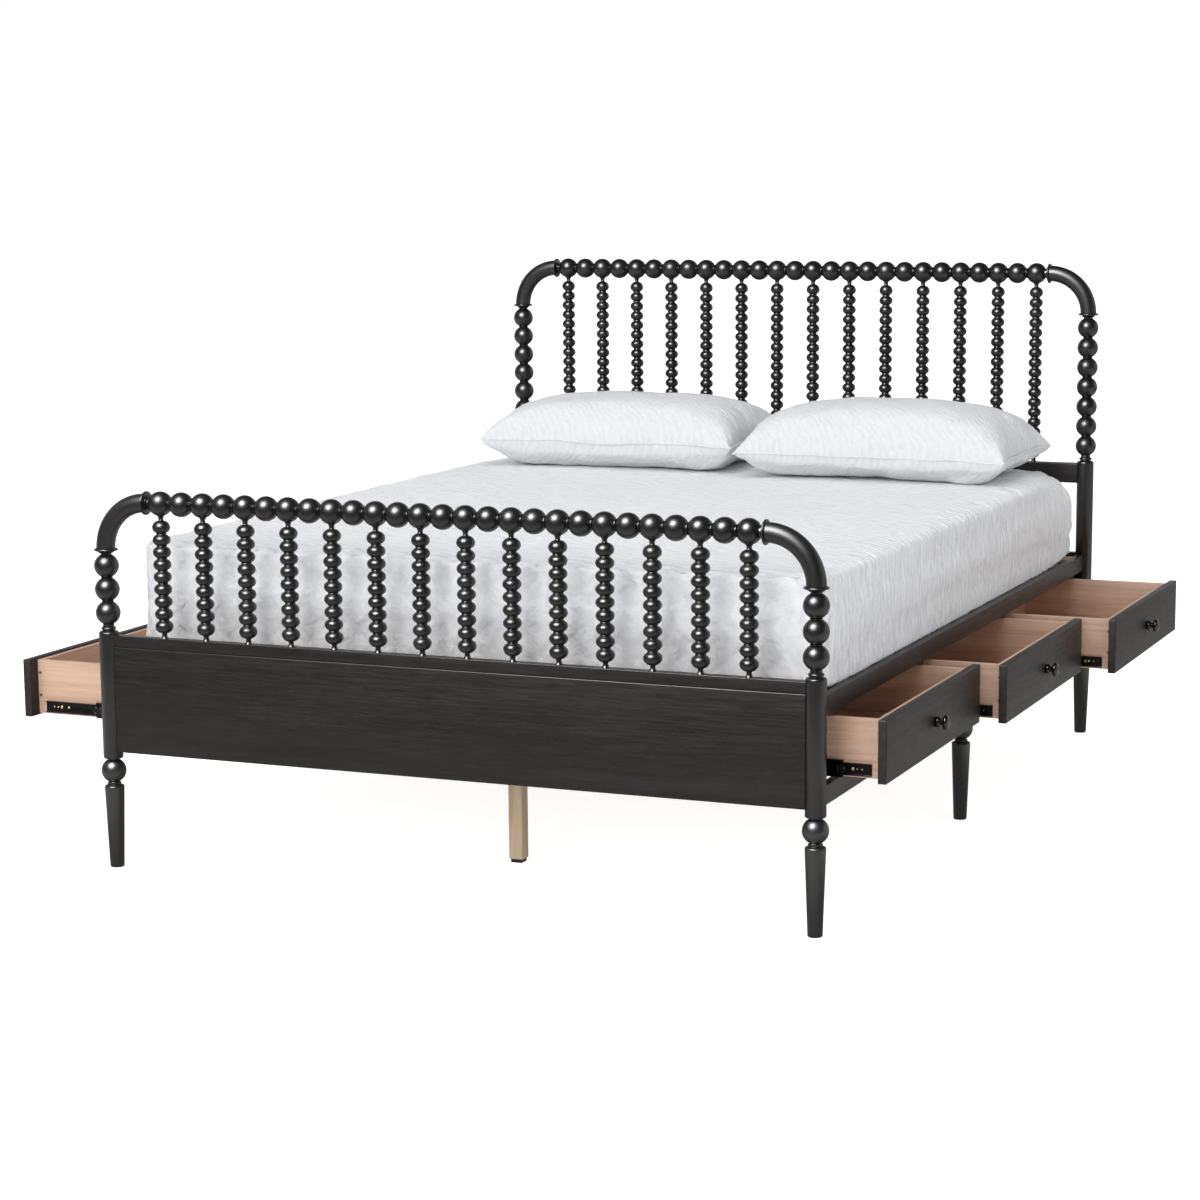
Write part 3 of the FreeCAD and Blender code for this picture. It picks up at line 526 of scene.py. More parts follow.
for end, endSign in bedEnds.items():
    for side, sideSign in sides.items():
        post = revolved(postProfile(end), turningSet["segments"])
        place = (sideSign * turningSet["postX"] * mm, endSign * turningSet["postY"] * mm, 0)
        node = "%s_post_%s" % (end, side)
        standFor("turned_" + node, moved(post, place), satinBlack, "black_lacquer", node, sharpAngle=50)


# Top rails: balls in a row along X

railSet = {"outermost": 650.0, "reach": 678.6, "count": 27}


def makeTopRail(end, endSign):
    s = turningSet
    centres = np.linspace(-railSet["outermost"], railSet["outermost"], railSet["count"])
    balls = beadRow(centres, s["ballRadius"], s["ballRadius"], s["ballNeck"], s["ballSteps"], 1.5, 3.2)
    first, last = [[(s["ballNeck"], sign * railSet["reach"])] for sign in (-1, 1)]
    rail = turnedTo(revolved(np.concatenate((first, balls, last)) * mm, s["segments"]), "x")
    rail = moved(rail, (0, endSign * s["postY"] * mm, s["railHeight"][end] * mm))
    standFor("turned_%s_top_rail" % end, rail, satinBlack, "black_lacquer", end + "_top_rail", sharpAngle=50)


makeTopRail("foot", -1)
makeTopRail("head", 1)


# Elbows: a ring swung a quarter turn about the bend's centre, and the flared collars at both ends

elbowSet = {
    "bend": 100.0,
    "tube": 19.9,
    "steps": 32,
    "segments": 40,
    "collarSegments": 32,
    "collar": [  # a small ring, a cone and the thin flared disc over it
        (12.0, -9.0), (14.6, -8.6), (16.2, -7.8), (16.2, -6.8), (14.8, -6.1), (16.2, -5.3), (20.4, -4.6),
        (23.6, -4.2), (24.9, -3.3), (25.2, -1.9), (24.8, -0.5), (23.2, 0.3), (19.0, 0.8),
    ],
}


def bentTube(bend, tube, steps, segments):
    # point = centre line at the bend radius + tube radius across it, for swing from 0 to a quarter turn
    swing = np.linspace(0, np.pi / 2, steps + 1)[:, None]
    angle = np.linspace(0, 2 * np.pi, segments, endpoint=False)[None, :]
    reach = bend + tube * np.cos(angle)
    aside = np.broadcast_to(tube * np.sin(angle), (steps + 1, segments))
    return openRings(np.stack((reach * np.cos(swing), aside, reach * np.sin(swing)), 2))


def makeElbows():
    s, bend = turningSet, elbowSet["bend"]
    tube = bentTube(bend * mm, elbowSet["tube"] * mm, elbowSet["steps"], elbowSet["segments"])
    mirrored = flipped((tube[0] * (-1, 1, 1), tube[1], tube[2]))
    collar = revolved(np.array(elbowSet["collar"]) * mm, elbowSet["collarSegments"])
    elbows, collars = [], []
    for end, endSign in bedEnds.items():
        railZ, bendZ = s["railHeight"][end] * mm, (s["railHeight"][end] - bend) * mm
        y = endSign * s["postY"] * mm
        for sideSign in sides.values():
            bendX = sideSign * (s["postX"] - bend) * mm
            elbows.append(moved(tube if sideSign > 0 else mirrored, (bendX, y, bendZ)))
            collars.append(moved(collar, (sideSign * s["postX"] * mm, y, bendZ)))
            collars.append(moved(turnedTo(collar, "x", sideSign), (bendX, y, railZ)))
    standFor("bent_elbows", joined(elbows), mattBlack, "black_lacquer", "elbows", sharpAngle=50)
    standFor("flared_collars", joined(collars), satinBlack, "black_lacquer", "elbow_collars", sharpAngle=60)


makeElbows()
print("posts, rails and elbows turned")


# Spindles: beads between two slim waisted ends

spindleSet = {
    "segments": 16,
    "beadSteps": 9,
    "neckShare": 0.56,
    "beadShare": 0.48,
    "ringShare": 0.075,
    "fullness": 0.74,
    "endLength": 15.0,
    "endNeck": 5.6,
    "endFullness": 0.86,
    "perRow": 14,
    "apart": 100.0,
    "foot": {"radius": 19.0, "count": 9, "first": 527.5, "last": 735.5, "below": 502.0, "above": 785.0},
    "head": {"radius": 17.25, "count": 17, "first": 725.5, "last": 1131.5, "below": 700.0, "above": 1181.0},
}


def spindleProfile(end):
    # slim flared foot, half a longer bead, the row, half a longer bead, slim neck that widens to the ball
    s, own = spindleSet, spindleSet[end]
    centres = np.linspace(own["first"], own["last"], own["count"])
    pitch, r = centres[1] - centres[0], own["radius"]
    halfLength, waist = pitch * s["beadShare"], r * s["neckShare"]
    row = beadRow(centres, r, halfLength, waist, s["beadSteps"], 0.8, pitch * s["ringShare"], s["fullness"])
    row = row[(row[:, 1] > centres[0] - 0.1) & (row[:, 1] < centres[-1] + 0.1)]
    shape = (r, s["endLength"], s["endNeck"], 15, s["endFullness"])
    lower, upper = (ballProfile(centre, *shape) for centre in (centres[0], centres[-1]))
    low, high = own["below"], own["above"] - turningSet["ballRadius"]
    foot = [(8.2, low - 1), (7.6, low + 0.8), (5.9, low + 3.6), (5.2, low + 7.0)]
    neck = [(5.2, high - 5.6), (5.4, high - 3.4), (6.6, high - 0.8), (8.2, high + 1.6)]
    return np.concatenate((smoothLine(foot, 2), lower[:7], row, upper[8:], smoothLine(neck, 2))) * mm


def makeSpindles(end, endSign):
    s = spindleSet
    spindle = revolved(spindleProfile(end), s["segments"])
    places = (np.arange(s["perRow"]) - (s["perRow"] - 1) / 2) * s["apart"]
    row = joined([moved(spindle, (place * mm, endSign * turningSet["postY"] * mm, 0)) for place in places])
    standFor("turned_%s_spindles" % end, row, satinBlack, "black_lacquer", end + "_spindles")


makeSpindles("foot", -1)
makeSpindles("head", 1)


# Legs

legSet = {
    "ball": 26.5,
    "ballZ": 210.0,
    "taperTop": 178.0,
    "top": 21.0,
    "bottom": 15.0,
    "middleX": 770.0,
    "capTop": 250.0,
    "segments": 32,
}


def legProfile(capped):
    # foot, taper, rounded shoulder, ring, ball, low ring, and on a middle leg the cap
    s = legSet
    r, top = s["top"], s["taperTop"]
    foot = [(s["bottom"] - 1.6, 0.0), (s["bottom"], 1.8)]
    taper = [(r - 0.1, top - 4.5)]
    shoulder = smoothLine([(r, top - 3.6), (r - 0.9, top - 0.8), (r - 4.0, top + 0.6), (14.2, top + 1.6)], 3)
    ring = [(13.4, top + 2.6), (14.8, top + 4.0), (14.8, top + 5.6), (12.6, top + 7.2)]
    ball = ballProfile(s["ballZ"], s["ball"], s["ball"], 12.2, 15)
    above = [(12.4, 234.4), (14.4, 235.2), (14.4, 236.2), (13.0, 237.2)]
    parts = [foot, taper, shoulder, ring, ball, above]
    if capped:
        parts.append([(19.6, 237.4), (21.0, 239.0), (21.0, s["capTop"])])
    return np.concatenate(parts) * mm


def makeLegs():
    cornerLeg, middleLeg = (revolved(legProfile(capped), legSet["segments"]) for capped in (False, True))
    legs = []
    for sideSign in sides.values():
        for endSign in bedEnds.values():
            corner = (sideSign * turningSet["postX"] * mm, endSign * turningSet["postY"] * mm, 0)
            legs.append(moved(cornerLeg, corner))
        legs.append(moved(middleLeg, (sideSign * legSet["middleX"] * mm, 0, 0)))
    standFor("turned_legs_six", joined(legs), legBlack, "black_lacquer", "turned_legs", sharpAngle=50)


makeLegs()


# Knobs: foot bead, slim neck, mushroom head

knobSet = {
    "outline": [
        (9.0, 0), (10.4, 1.2), (10.9, 3.6), (10.6, 7.0), (9.2, 9.8), (6.8, 11.7), (6.1, 13.1),
        (6.9, 14.5), (10.6, 16.1), (14.2, 18.2), (15.6, 21.0), (15.2, 24.0), (12.6, 26.8), (8.2, 28.8),
        (3.6, 29.8), (0.5, 30.0),
    ],
    "tip": 0.4,
    "segments": 32,
}


# pan head with a cup for the driver, in shares of its radius and rise

screwShares = [(1, 0), (1, 0.35), (0.82, 0.8), (0.5, 1), (0.34, 0.93), (0.2, 0.55), (0.02, 0.5)]


def makeKnob(side, row):
    node = "drawer_%s_%s_knob" % (side, row)
    low, high = boxOf(node)
    middle = (low + high) / 2
    base = low[0] if side == "right" else high[0]
    profile = smoothLine(np.array(knobSet["outline"]) * mm, 2)
    profile[:, 0] = np.maximum(profile[:, 0], knobSet["tip"] * mm)
    knob = turnedTo(revolved(profile, knobSet["segments"]), "x", sides[side])
    standFor("turned_" + node, moved(knob, (base, middle[1], middle[2])), glossBlack, "black_gloss", node)


def screwHead(radius, rise):
    return revolved(smoothLine(np.array(screwShares) * (radius, rise), 2), 14)


# Boards: a box whose edges are rounded

def sixFaces(half, lines):
    # a grid on each face of a box, at the lines' places along each axis, faces outwards
    parts = []
    for axis in range(3):
        first, second = [other for other in range(3) if other != axis]
        grid = np.stack(np.meshgrid(lines[first], lines[second], indexing="ij"), 2)
        wide, deep = grid.shape[:2]
        here = (np.arange(wide - 1)[:, None] * deep + np.arange(deep - 1)[None, :]).ravel()
        for sign in (-1, 1):
            points = np.empty((wide, deep, 3))
            points[..., axis] = sign * half[axis]
            points[..., first], points[..., second] = grid[..., 0], grid[..., 1]
            quads = np.stack((here, here + deep, here + deep + 1, here + 1), 1)
            if (sign > 0) != (axis != 1):
                quads = quads[:, ::-1]
            points = points.reshape(-1, 3)
            parts.append((points, [quads], points))
    points, faces, _ = joined(parts)
    return points, np.concatenate(faces)


def welded(points, quads, digits):
    places, numbers = np.unique(np.round(points, digits), axis=0, return_inverse=True)
    return places, numbers.ravel()[quads]


def roundedBoard(low, high, edge, along="x", seed=0.0, steps=2):
    # each point of the box's faces = its nearest point of the inner box + edge radius outwards
    low, high = np.asarray(low, float), np.asarray(high, float)
    edge = min(edge, float((high - low).min()) * 0.45)
    middle, half = (low + high) / 2, (high - low) / 2
    ease = edge * (np.tan(np.linspace(-np.pi / 4, 0, steps + 1)) + 1)
    lines = [np.concatenate((ease - reach, (reach - ease)[::-1])) for reach in half]
    points, quads = sixFaces(half, lines)
    inner = np.clip(points, -(half - edge), half - edge)
    outwards = points - inner
    outwards /= np.linalg.norm(outwards, axis=1, keepdims=True)
    places, quads = welded(inner + edge * outwards, quads, 7)
    order = {"x": (0, 1, 2), "y": (1, 0, 2), "z": (2, 1, 0)}[along]
    grain = places[:, order] + np.array((seed * 1.37, seed * 0.61, seed * 0.43))
    return places + middle, [quads], grain


def makeBoards(name, material, slotName, node, edge, along, spans=None):
    parts = []
    for number, (low, high) in enumerate(spans or solidsOf(node)):
        parts.append(roundedBoard(low, high, edge * mm, along, seed=number + 0.37 * len(name)))
    return standFor(name, joined(parts), material, slotName, node, sharpAngle=None)


reachSet = {"ends": 769.5, "sides": 1049.5}  # where the boards meet the posts' own surfaces


def widened(node, axis, reach):
    # the solids' ends are hollowed round the posts; the board runs on to the post
    spans = []
    for low, high in solidsOf(node):
        low[axis], high[axis] = -reach * mm, reach * mm
        spans.append((low, high))
    return spans


endBoards = {"foot_cap_rail": 1.6, "foot_panel": 2.4, "head_middle_rail": 2.0, "head_panel": 1.2}
for node, edge in endBoards.items():
    spans = widened(node, 0, reachSet["ends"])
    makeBoards("board_" + node, boardBlack, "black_lacquer", node, edge, "x", spans)
for node in ("upper_side_rails", "lower_side_rails"):
    spans = widened(node, 1, reachSet["sides"])
    makeBoards("board_" + node, boardBlack, "black_lacquer", node, 1.5, "y", spans)
makeBoards("board_stiles", boardBlack, "black_lacquer", "stiles", 1.0, "z")
makeBoards("board_leg_blocks", boardBlack, "black_lacquer", "middle_leg_blocks", 1.5, "y")
makeBoards("board_cross_boards", rawWood, "raw_wood", "cross_boards", 1.0, "x")
makeBoards("board_centre_beam", rawWood, "raw_wood", "centre_beam", 2.0, "y")
makeBoards("board_centre_legs", rawWood, "raw_wood", "centre_legs", 2.0, "z")
makeBoards("board_slat_ledges", slatWood, "slat_wood", "slat_ledges", 1.2, "y")
makeBoards("board_slats", slatWood, "slat_wood", "slats", 2.5, "x")
makeBoards("leg_glides", glidePlastic, "black_plastic", "centre_leg_glides", 1.5, "x")
print("boards cut")


# Drawers

boxSet = {
    "board": 12.0,
    "bottom": 6.0,
    "lift": 6.0,
    "groove": 5.0,
    "edge": 1.0,
    "plugRadius": 3.2,
    "plugRise": 0.9,
    "plugInset": 6.0,
    "plugShares": (0.34, 0.76),
}


def makeDrawerBox(side, row, node):
    # two long sides, a board across at each end between them, and a bottom let into grooves
    s = boxSet
    (x0, y0, z0), (x1, y1, z1) = boxOf(node)
    t, under = s["board"] * mm, z0 + s["lift"] * mm
    inset = t - s["groove"] * mm
    spans = (
        ((x0, y0, z0), (x1, y0 + t, z1), "x"),
        ((x0, y1 - t, z0), (x1, y1, z1), "x"),
        ((x0, y0 + t, z0), (x0 + t, y1 - t, z1), "y"),
        ((x1 - t, y0 + t, z0), (x1, y1 - t, z1), "y"),
        ((x0 + inset, y0 + inset, under), (x1 - inset, y1 - inset, under + s["bottom"] * mm), "y"),
    )
    seed = 3.1 * rows.index(row) + 1.7 * (side == "left")
    boards = []
    for number, (low, high, along) in enumerate(spans):
        boards.append(roundedBoard(low, high, s["edge"] * mm, along, seed + number))
    standFor("carcass_" + node, joined(boards), drawerWood, "drawer_wood", node)
    # bronzed screws that hold the sides to the boards across
    plugs = []
    plug = screwHead(s["plugRadius"] * mm, s["plugRise"] * mm)
    for y, sign in ((y0, -1), (y1, 1)):
        for x in (x0 + s["plugInset"] * mm, x1 - s["plugInset"] * mm):
            for share in s["plugShares"]:
                plugs.append(moved(turnedTo(plug, "y", sign), (x, y, z0 + share * (z1 - z0))))
    makePiece("screws_" + node, joined(plugs), screwBronze, None, [node])


for side in sides:
    for row in rows:
        name = "drawer_%s_%s_" % (side, row)
        makeBoards("face_" + name + "front", frontGrain, "dark_grain", name + "front", 2.2, "y")
        makeDrawerBox(side, row, name + "box")
        makeKnob(side, row)
print("drawers made")


# Slides: steel channels, their ball cages and the screws

slideSet = {
    "steel": 1.2,
    "bend": 1.6,
    # inset from the front end, and radius of the head
    "screws": ((20.0, 1.8), (30.0, 1.8), (39.0, 3.4), (57.0, 2.8), (180.0, 3.4), (326.0, 3.4)),
    "memberHeight": 20.0,  # a lower solid is a ball cage
    "drawerPitch": 664.3,
    "clipInset": 11.0,
    "clipHalf": (1.6, 0.8, 7.0),
    "loop": (4.2, 6.6),
    "loopPoints": 20,
    "wire": 0.8,
}


def extrudedAlongX(outline, start, end):
    # a closed outline in Y and Z carried from start to end
    outline = np.asarray(outline, float)
    return openRings(np.stack([np.insert(outline, 0, x, axis=1) for x in (start, end)]))


def roundedOutline(corners, radii, steps=3):
    # each corner with a radius becomes a quarter arc between its two sides
    corners = np.asarray(corners, float)
    outline = []
    for number, radius in enumerate(radii):
        corner = corners[number]
        if not radius:
            outline.append(corner)
            continue
        before = corners[number - 1] - corner
        after = corners[(number + 1) % len(corners)] - corner
        before, after = before / np.linalg.norm(before), after / np.linalg.norm(after)
        for angle in np.linspace(0, np.pi / 2, steps + 1):
            outline.append(corner + radius * (before * (1 - math.sin(angle)) + after * (1 - math.cos(angle))))
    return np.array(outline)


def channel(low, high, webLow):
    # a web with a bent lip along its top and bottom; webLow says on which side in Y the web stands
    steel, bend = slideSet["steel"] * mm, slideSet["bend"] * mm
    (x0, y0, z0), (x1, y1, z1) = low, high
    web, lip = (y0, y1) if webLow else (y1, y0)
    inner = web + math.copysign(steel, lip - web)
    lower = [(web, z0), (lip, z0), (lip, z0 + steel), (inner, z0 + steel)]
    upper = [(inner, z1 - steel), (lip, z1 - steel), (lip, z1), (web, z1)]
    inside = bend - 0.8 * mm
    part = extrudedAlongX(roundedOutline(lower + upper, [bend, 0, 0, inside, inside, 0, 0, bend]), x0, x1)
    return part if webLow else flipped(part)


def latchParts(low, high, near, sign):
    # a clip on the member's web and a wire loop round its front end
    s = slideSet
    webY, out = (low[1], -1) if near else (high[1], 1)
    frontX = high[0] if sign > 0 else low[0]
    middleZ = (low[2] + high[2]) / 2
    clip = np.array((frontX - sign * s["clipInset"] * mm, webY, middleZ))
    half = np.array(s["clipHalf"]) * mm
    angle = np.linspace(0, 2 * np.pi, s["loopPoints"], endpoint=False)
    wide, tall = s["loop"]
    aside = np.full(s["loopPoints"], webY + out * 0.2 * mm)
    loop = np.stack((frontX + wide * mm * np.cos(angle), aside, middleZ + tall * mm * np.sin(angle)), 1)
    wire = closedTube(loop, s["wire"] * mm, 6, (0, 1.0, 0))
    return [roundedBoard(clip - half, clip + half, 0.6 * mm), wire]


def makeSlides(side, row):
    # the drawer's own members with their screws, then the middle members with their cages and latches
    sign = sides[side]
    name = "%s_%s" % (side, row)
    node = "drawer_%s_slide_rails" % name
    spans = solidsOf(node)
    middleY = np.mean([(low[1] + high[1]) / 2 for low, high in spans])
    steel, screws = [], []
    for low, high in spans:
        far = (low[1] + high[1]) / 2 > middleY
        steel.append(channel(low, high, far))
        webY, out = (low[1], 1) if far else (high[1], -1)
        frontX = high[0] if sign > 0 else low[0]
        for inset, radius in slideSet["screws"]:
            head = turnedTo(screwHead(radius * mm, 0.5 * radius * mm), "y", out)
            place = (frontX - sign * inset * mm, webY + out * slideSet["steel"] * mm, (low[2] + high[2]) / 2)
            screws.append(moved(head, place))
    standFor("rails_%s_drawer" % name, joined(steel), slideBlack, "black_steel", node, sharpAngle=35)
    makePiece("screws_%s_drawer" % name, joined(screws), screwZinc, None, [node])
    node = "slide_%s_middle_members" % name
    members, cages, latches = [], [], []
    for low, high in solidsOf(node):
        if high[2] - low[2] > slideSet["memberHeight"] * mm:
            near = (low[1] + high[1]) / 2 < middleY
            members.append(channel(low, high, near))
            latches += latchParts(low, high, near, sign)
        else:
            cages.append(roundedBoard(low, high, 0.4 * mm))
    makePiece("latches_%s" % name, joined(latches), bracketSteel, None, [node])
    steel = joined(members + cages)
    standFor("rails_%s_middle" % name, steel, slideBlack, "black_steel", node, sharpAngle=35)


def makeCabinetMembers():
    # each channel opens towards its own drawer
    node = "slide_cabinet_members"
    middles = np.array((-1, 0, 1)) * slideSet["drawerPitch"] * mm
    parts = []
    for low, high in solidsOf(node):
        y = (low[1] + high[1]) / 2
        parts.append(channel(low, high, y < middles[np.argmin(abs(middles - y))]))
    standFor("rails_cabinet", joined(parts), slideBlack, "black_steel", node, sharpAngle=35)


for side in sides:
    for row in rows:
        makeSlides(side, row)
makeCabinetMembers()


# Corner brackets: steel angles with two bolts in each leg

bracketSet = {"steel": 3.0, "bend": 5.0, "bolts": (28.0, 82.0), "boltRadius": 6.5, "boltRise": 3.2}


def makeBrackets():
    s, node = bracketSet, "corner_brackets"
    t, bend = s["steel"] * mm, s["bend"] * mm
    head = screwHead(s["boltRadius"] * mm, s["boltRise"] * mm)
    parts, bolts = [], []
    for low, high in solidsOf(node):
        xSign = 1 if low[0] > 0 else -1
        ySign = 1 if low[1] > 0 else -1
        cornerX, farX = (high[0], low[0]) if xSign > 0 else (low[0], high[0])
        cornerY, farY = (high[1], low[1]) if ySign > 0 else (low[1], high[1])
        insideX, insideY = cornerX - xSign * t, cornerY - ySign * t
        outer = [(cornerX, cornerY), (cornerX, farY), (insideX, farY)]
        inner = [(insideX, insideY), (farX, insideY), (farX, cornerY)]
        outline = roundedOutline(outer + inner, [bend, 0, 0, bend - t, 0, 0])
        part = extrudedAlongX(outline, low[2], high[2])
        points = part[0][:, (1, 2, 0)]
        part = (points, part[1], points)
        parts.append(flipped(part) if xSign * ySign > 0 else part)
        middleY, middleX = (cornerY + farY) / 2, (cornerX + farX) / 2
        for rise in s["bolts"]:
            bolts.append(moved(turnedTo(head, "x", -xSign), (insideX, middleY, low[2] + rise * mm)))
            bolts.append(moved(turnedTo(head, "y", -ySign), (middleX, insideY, low[2] + rise * mm)))
    standFor("steel_corner_brackets", joined(parts), bracketSteel, "bracket_steel", node, sharpAngle=35)
    makePiece("bracket_bolts", joined(bolts), screwZinc, None, [node])


makeBrackets()
print("slides and brackets made")


# Noise on a lattice, for the soft pieces' folds

def latticeNoise(places, seed):
    # values mixed from whole-number places, blended between them by the smooth step of the leftovers
    base = np.floor(places).astype(np.int64)
    part = places - base
    part = part * part * (3 - 2 * part)
    total = np.zeros(len(places))
    for corner in np.ndindex(2, 2, 2):
        cell = (base + corner) * (73856093, 19349663, 83492791)
        mixed = np.bitwise_xor.reduce(cell, axis=1) ^ (seed * 2654435761)
        mixed = (mixed ^ (mixed >> 13)) * 1274126177
        value = ((mixed ^ (mixed >> 16)) & 65535) / 65535.0
        total += value * np.abs(1 - np.array(corner) - part).prod(axis=1)
    return total * 2 - 1


def layeredNoise(places, seed, layers=3):
    total = np.zeros(len(places))
    for layer in range(layers):
        total += latticeNoise(places * 2.0 ** layer, seed + layer) / 2.0 ** layer
    return total


def meshPoints(mesh):
    points = np.empty(len(mesh.vertices) * 3, np.float32)
    mesh.vertices.foreach_get("co", points)
    return points.reshape(-1, 3).astype(float)


def meshNormals(mesh):
    normals = np.empty(len(mesh.vertices) * 3, np.float32)
    mesh.vertex_normals.foreach_get("vector", normals)
    return normals.reshape(-1, 3).astype(float)


def setPoints(mesh, points):
    mesh.vertices.foreach_set("co", points.astype(np.float32).ravel())
    mesh.update()


def inflate(piece, pressure, frames, cap, stiffness):
    # cloth blown up a little by pressure, without gravity; no point travels further than the cap
    before = meshPoints(piece.data)
    modifier = piece.modifiers.new("cloth", "CLOTH")
    settings = modifier.settings
    settings.use_pressure = True
    settings.uniform_pressure_force = pressure
    settings.effector_weights.gravity = 0
    settings.mass = 0.3
    settings.quality = 5
    settings.tension_stiffness = settings.compression_stiffness = stiffness
    settings.shear_stiffness = stiffness / 3
    settings.bending_stiffness = 0.4
    modifier.collision_settings.use_collision = False
    modifier.point_cache.frame_start, modifier.point_cache.frame_end = 1, frames
    for number in range(1, frames + 1):
        scene.frame_set(number)
    graph = bpy.context.evaluated_depsgraph_get()
    after = meshPoints(piece.evaluated_get(graph).data)
    piece.modifiers.remove(modifier)
    scene.frame_set(1)
    travel = after - before
    length = np.linalg.norm(travel, axis=1, keepdims=True)
    travel *= np.minimum(1, cap / np.maximum(length, 1e-9))
    setPoints(piece.data, before + travel)


def subdivided(piece):
    modifier = piece.modifiers.new("finer", "SUBSURF")
    modifier.levels = modifier.render_levels = 1
    graph = bpy.context.evaluated_depsgraph_get()
    finer = bpy.data.meshes.new_from_object(piece.evaluated_get(graph))
    piece.modifiers.remove(modifier)
    old = piece.data
    finer.name = old.name + "Finer"
    piece.data = finer
    bpy.data.meshes.remove(old)


# Mattress

mattressSet = {
    "step": 15.0,
    "rim": (9, 18, 24, 29, 33, 36),
    "corner": 60.0,
    "topEdge": 15.0,
    "bottomEdge": 4.0,
    "slack": 1.2,
    "pressure": 2.5,
    "cap": 6.0,
    "still": (10.0, 70.0),
    "softCorner": 88.0,
    "tuck": 0.32,
    "quiltPitch": 92.0,
    "quiltLine": 7.5,
    "quiltDepth": 3.4,
    "foldDepth": 1.2,
    "crinkleDepth": 0.8,
    "waveDepth": 2.1,
    "crumpleDepth": 1.2,
    "bulge": 5.0,
    "crown": 2.4,
    "droop": 16.0,
    "railGap": 772.4,
    "skirt": 45.0,
    "headLimit": 1046.8,
    "headEase": 6.0,
}


def risen(value, start, end):
    # 0 up to the start, 1 from the end on, straight between
    return np.clip((value - start) / (end - start), 0, 1)


def softBox(half, s):
    # a box rounded in plan first, then along its upper and lower edges: in a rounded zone a point's two
    # distances from the zone's start are scaled to the larger one / the length of both
    corner, topEdge, bottomEdge = (s[key] * mm for key in ("corner", "topEdge", "bottomEdge"))
    rim = np.array(s["rim"]) * mm
    lines = []
    for reach in half:
        start = reach - rim[-1]
        inside = np.linspace(-start, start, max(int(round(2 * start / (s["step"] * mm))), 2) + 1)
        lines.append(np.concatenate((-(start + rim)[::-1], inside, start + rim)))
    places, quads = welded(*sixFaces(half, lines), 6)
    inner = np.clip(places[:, :2], -(half[:2] - corner), half[:2] - corner)
    away = places[:, :2] - inner
    reach = np.abs(away).max(1)
    away /= np.maximum(np.linalg.norm(away, axis=1, keepdims=True), 1e-9)
    places[:, :2] = inner + away * reach[:, None]
    edge = np.where(places[:, 2] > 0, topEdge, bottomEdge)
    rise = np.abs(places[:, 2]) - (half[2] - edge)
    out = np.maximum(reach - (corner - edge), 0)
    both = (rise > 0) & (out > 0)
    scale = np.maximum(rise, out) / np.maximum(np.hypot(rise, out), 1e-9)
    places[both, :2] -= (away * ((1 - scale) * out)[:, None])[both]
    places[both, 2] = np.sign(places[both, 2]) * (half[2] - edge + rise * scale)[both]
    return places, [quads], places


def softenedCorners(local, half):
    # u = how far a point lies into the corner's cube, 0 to 1 on each axis; u is shortened to length 1,
    # so the cube's corner turns into a ball's, in full only at the two head corners
    reach = mattressSet["softCorner"] * mm
    inside = half - reach
    u = np.clip((np.abs(local) - inside) / reach, 0, None)
    toHead = risen(local[:, 1] / half[1], 0.62, 0.92)
    toSide = risen(np.abs(local[:, 0]) / half[0], 0.30, 0.85)
    share = (toHead * toSide) ** 1.2 * np.where(local[:, 2] > 0, 1.0, mattressSet["tuck"])
    shrink = (1 / np.maximum(np.linalg.norm(u, axis=1), 1)) ** share
    return np.clip(local, -inside, inside) + np.sign(local) * u * reach * shrink[:, None]


def quilting(local, normals):
    # two families of slanted wavy lines, on the top by x and y and on the sides by run and z;
    # height = 0.6 - e to the minus (distance to the nearest line / line width) squared
    s = mattressSet
    onTop = normals[:, 2] > 0.6
    run = np.where(np.abs(normals[:, 0]) > np.abs(normals[:, 1]), local[:, 1], local[:, 0])
    wave = 0.010 * layeredNoise(local * 6.0, 3, 2)
    across = np.where(onTop, local[:, 0], run) + wave
    along = np.where(onTop, local[:, 1], local[:, 2] * 1.1) - wave
    pitch = s["quiltPitch"] * mm
    lines = np.zeros(len(local))
    for slope in (1, -1):
        phase = (across + slope * along) / pitch
        gap = np.abs(phase - np.round(phase)) * pitch
        lines = np.maximum(lines, np.exp(-(gap / (s["quiltLine"] * mm)) ** 2))
    return s["quiltDepth"] * (0.6 - lines) * (0.2 + 0.8 * np.abs(normals[:, 1]))


def creases(local, normals, sideways):
    # folds drawn out from top to bottom on the sides, crinkles everywhere, crumples on the foot end,
    # and broken waves = sine of (45 x + 134 y + 5 * slow noise), in patches
    s = mattressSet
    footFace = np.clip(-normals[:, 1], 0, 1)
    folds = layeredNoise(local * (22.0, 22.0, 5.0), 11, 3) * sideways * (1 - 0.6 * footFace)
    crinkle = layeredNoise(local * (38.0, 30.0, 24.0), 23, 2)
    swing = 45 * local[:, 0] + 134 * local[:, 1] + 5 * layeredNoise(local * (9.0, 16.0, 10.0), 41, 2)
    patches = np.clip(0.6 + 1.6 * layeredNoise(local * (7.0, 12.0, 8.0), 47, 2), 0, 1)
    waves = np.sin(swing) * patches * (0.6 + 0.6 * np.abs(normals[:, 0]))
    crumples = layeredNoise(local * (55.0, 20.0, 42.0), 53, 2) * footFace
    relief = folds * s["foldDepth"] + crinkle * s["crinkleDepth"]
    return relief + waves * s["waveDepth"] + crumples * s["crumpleDepth"]


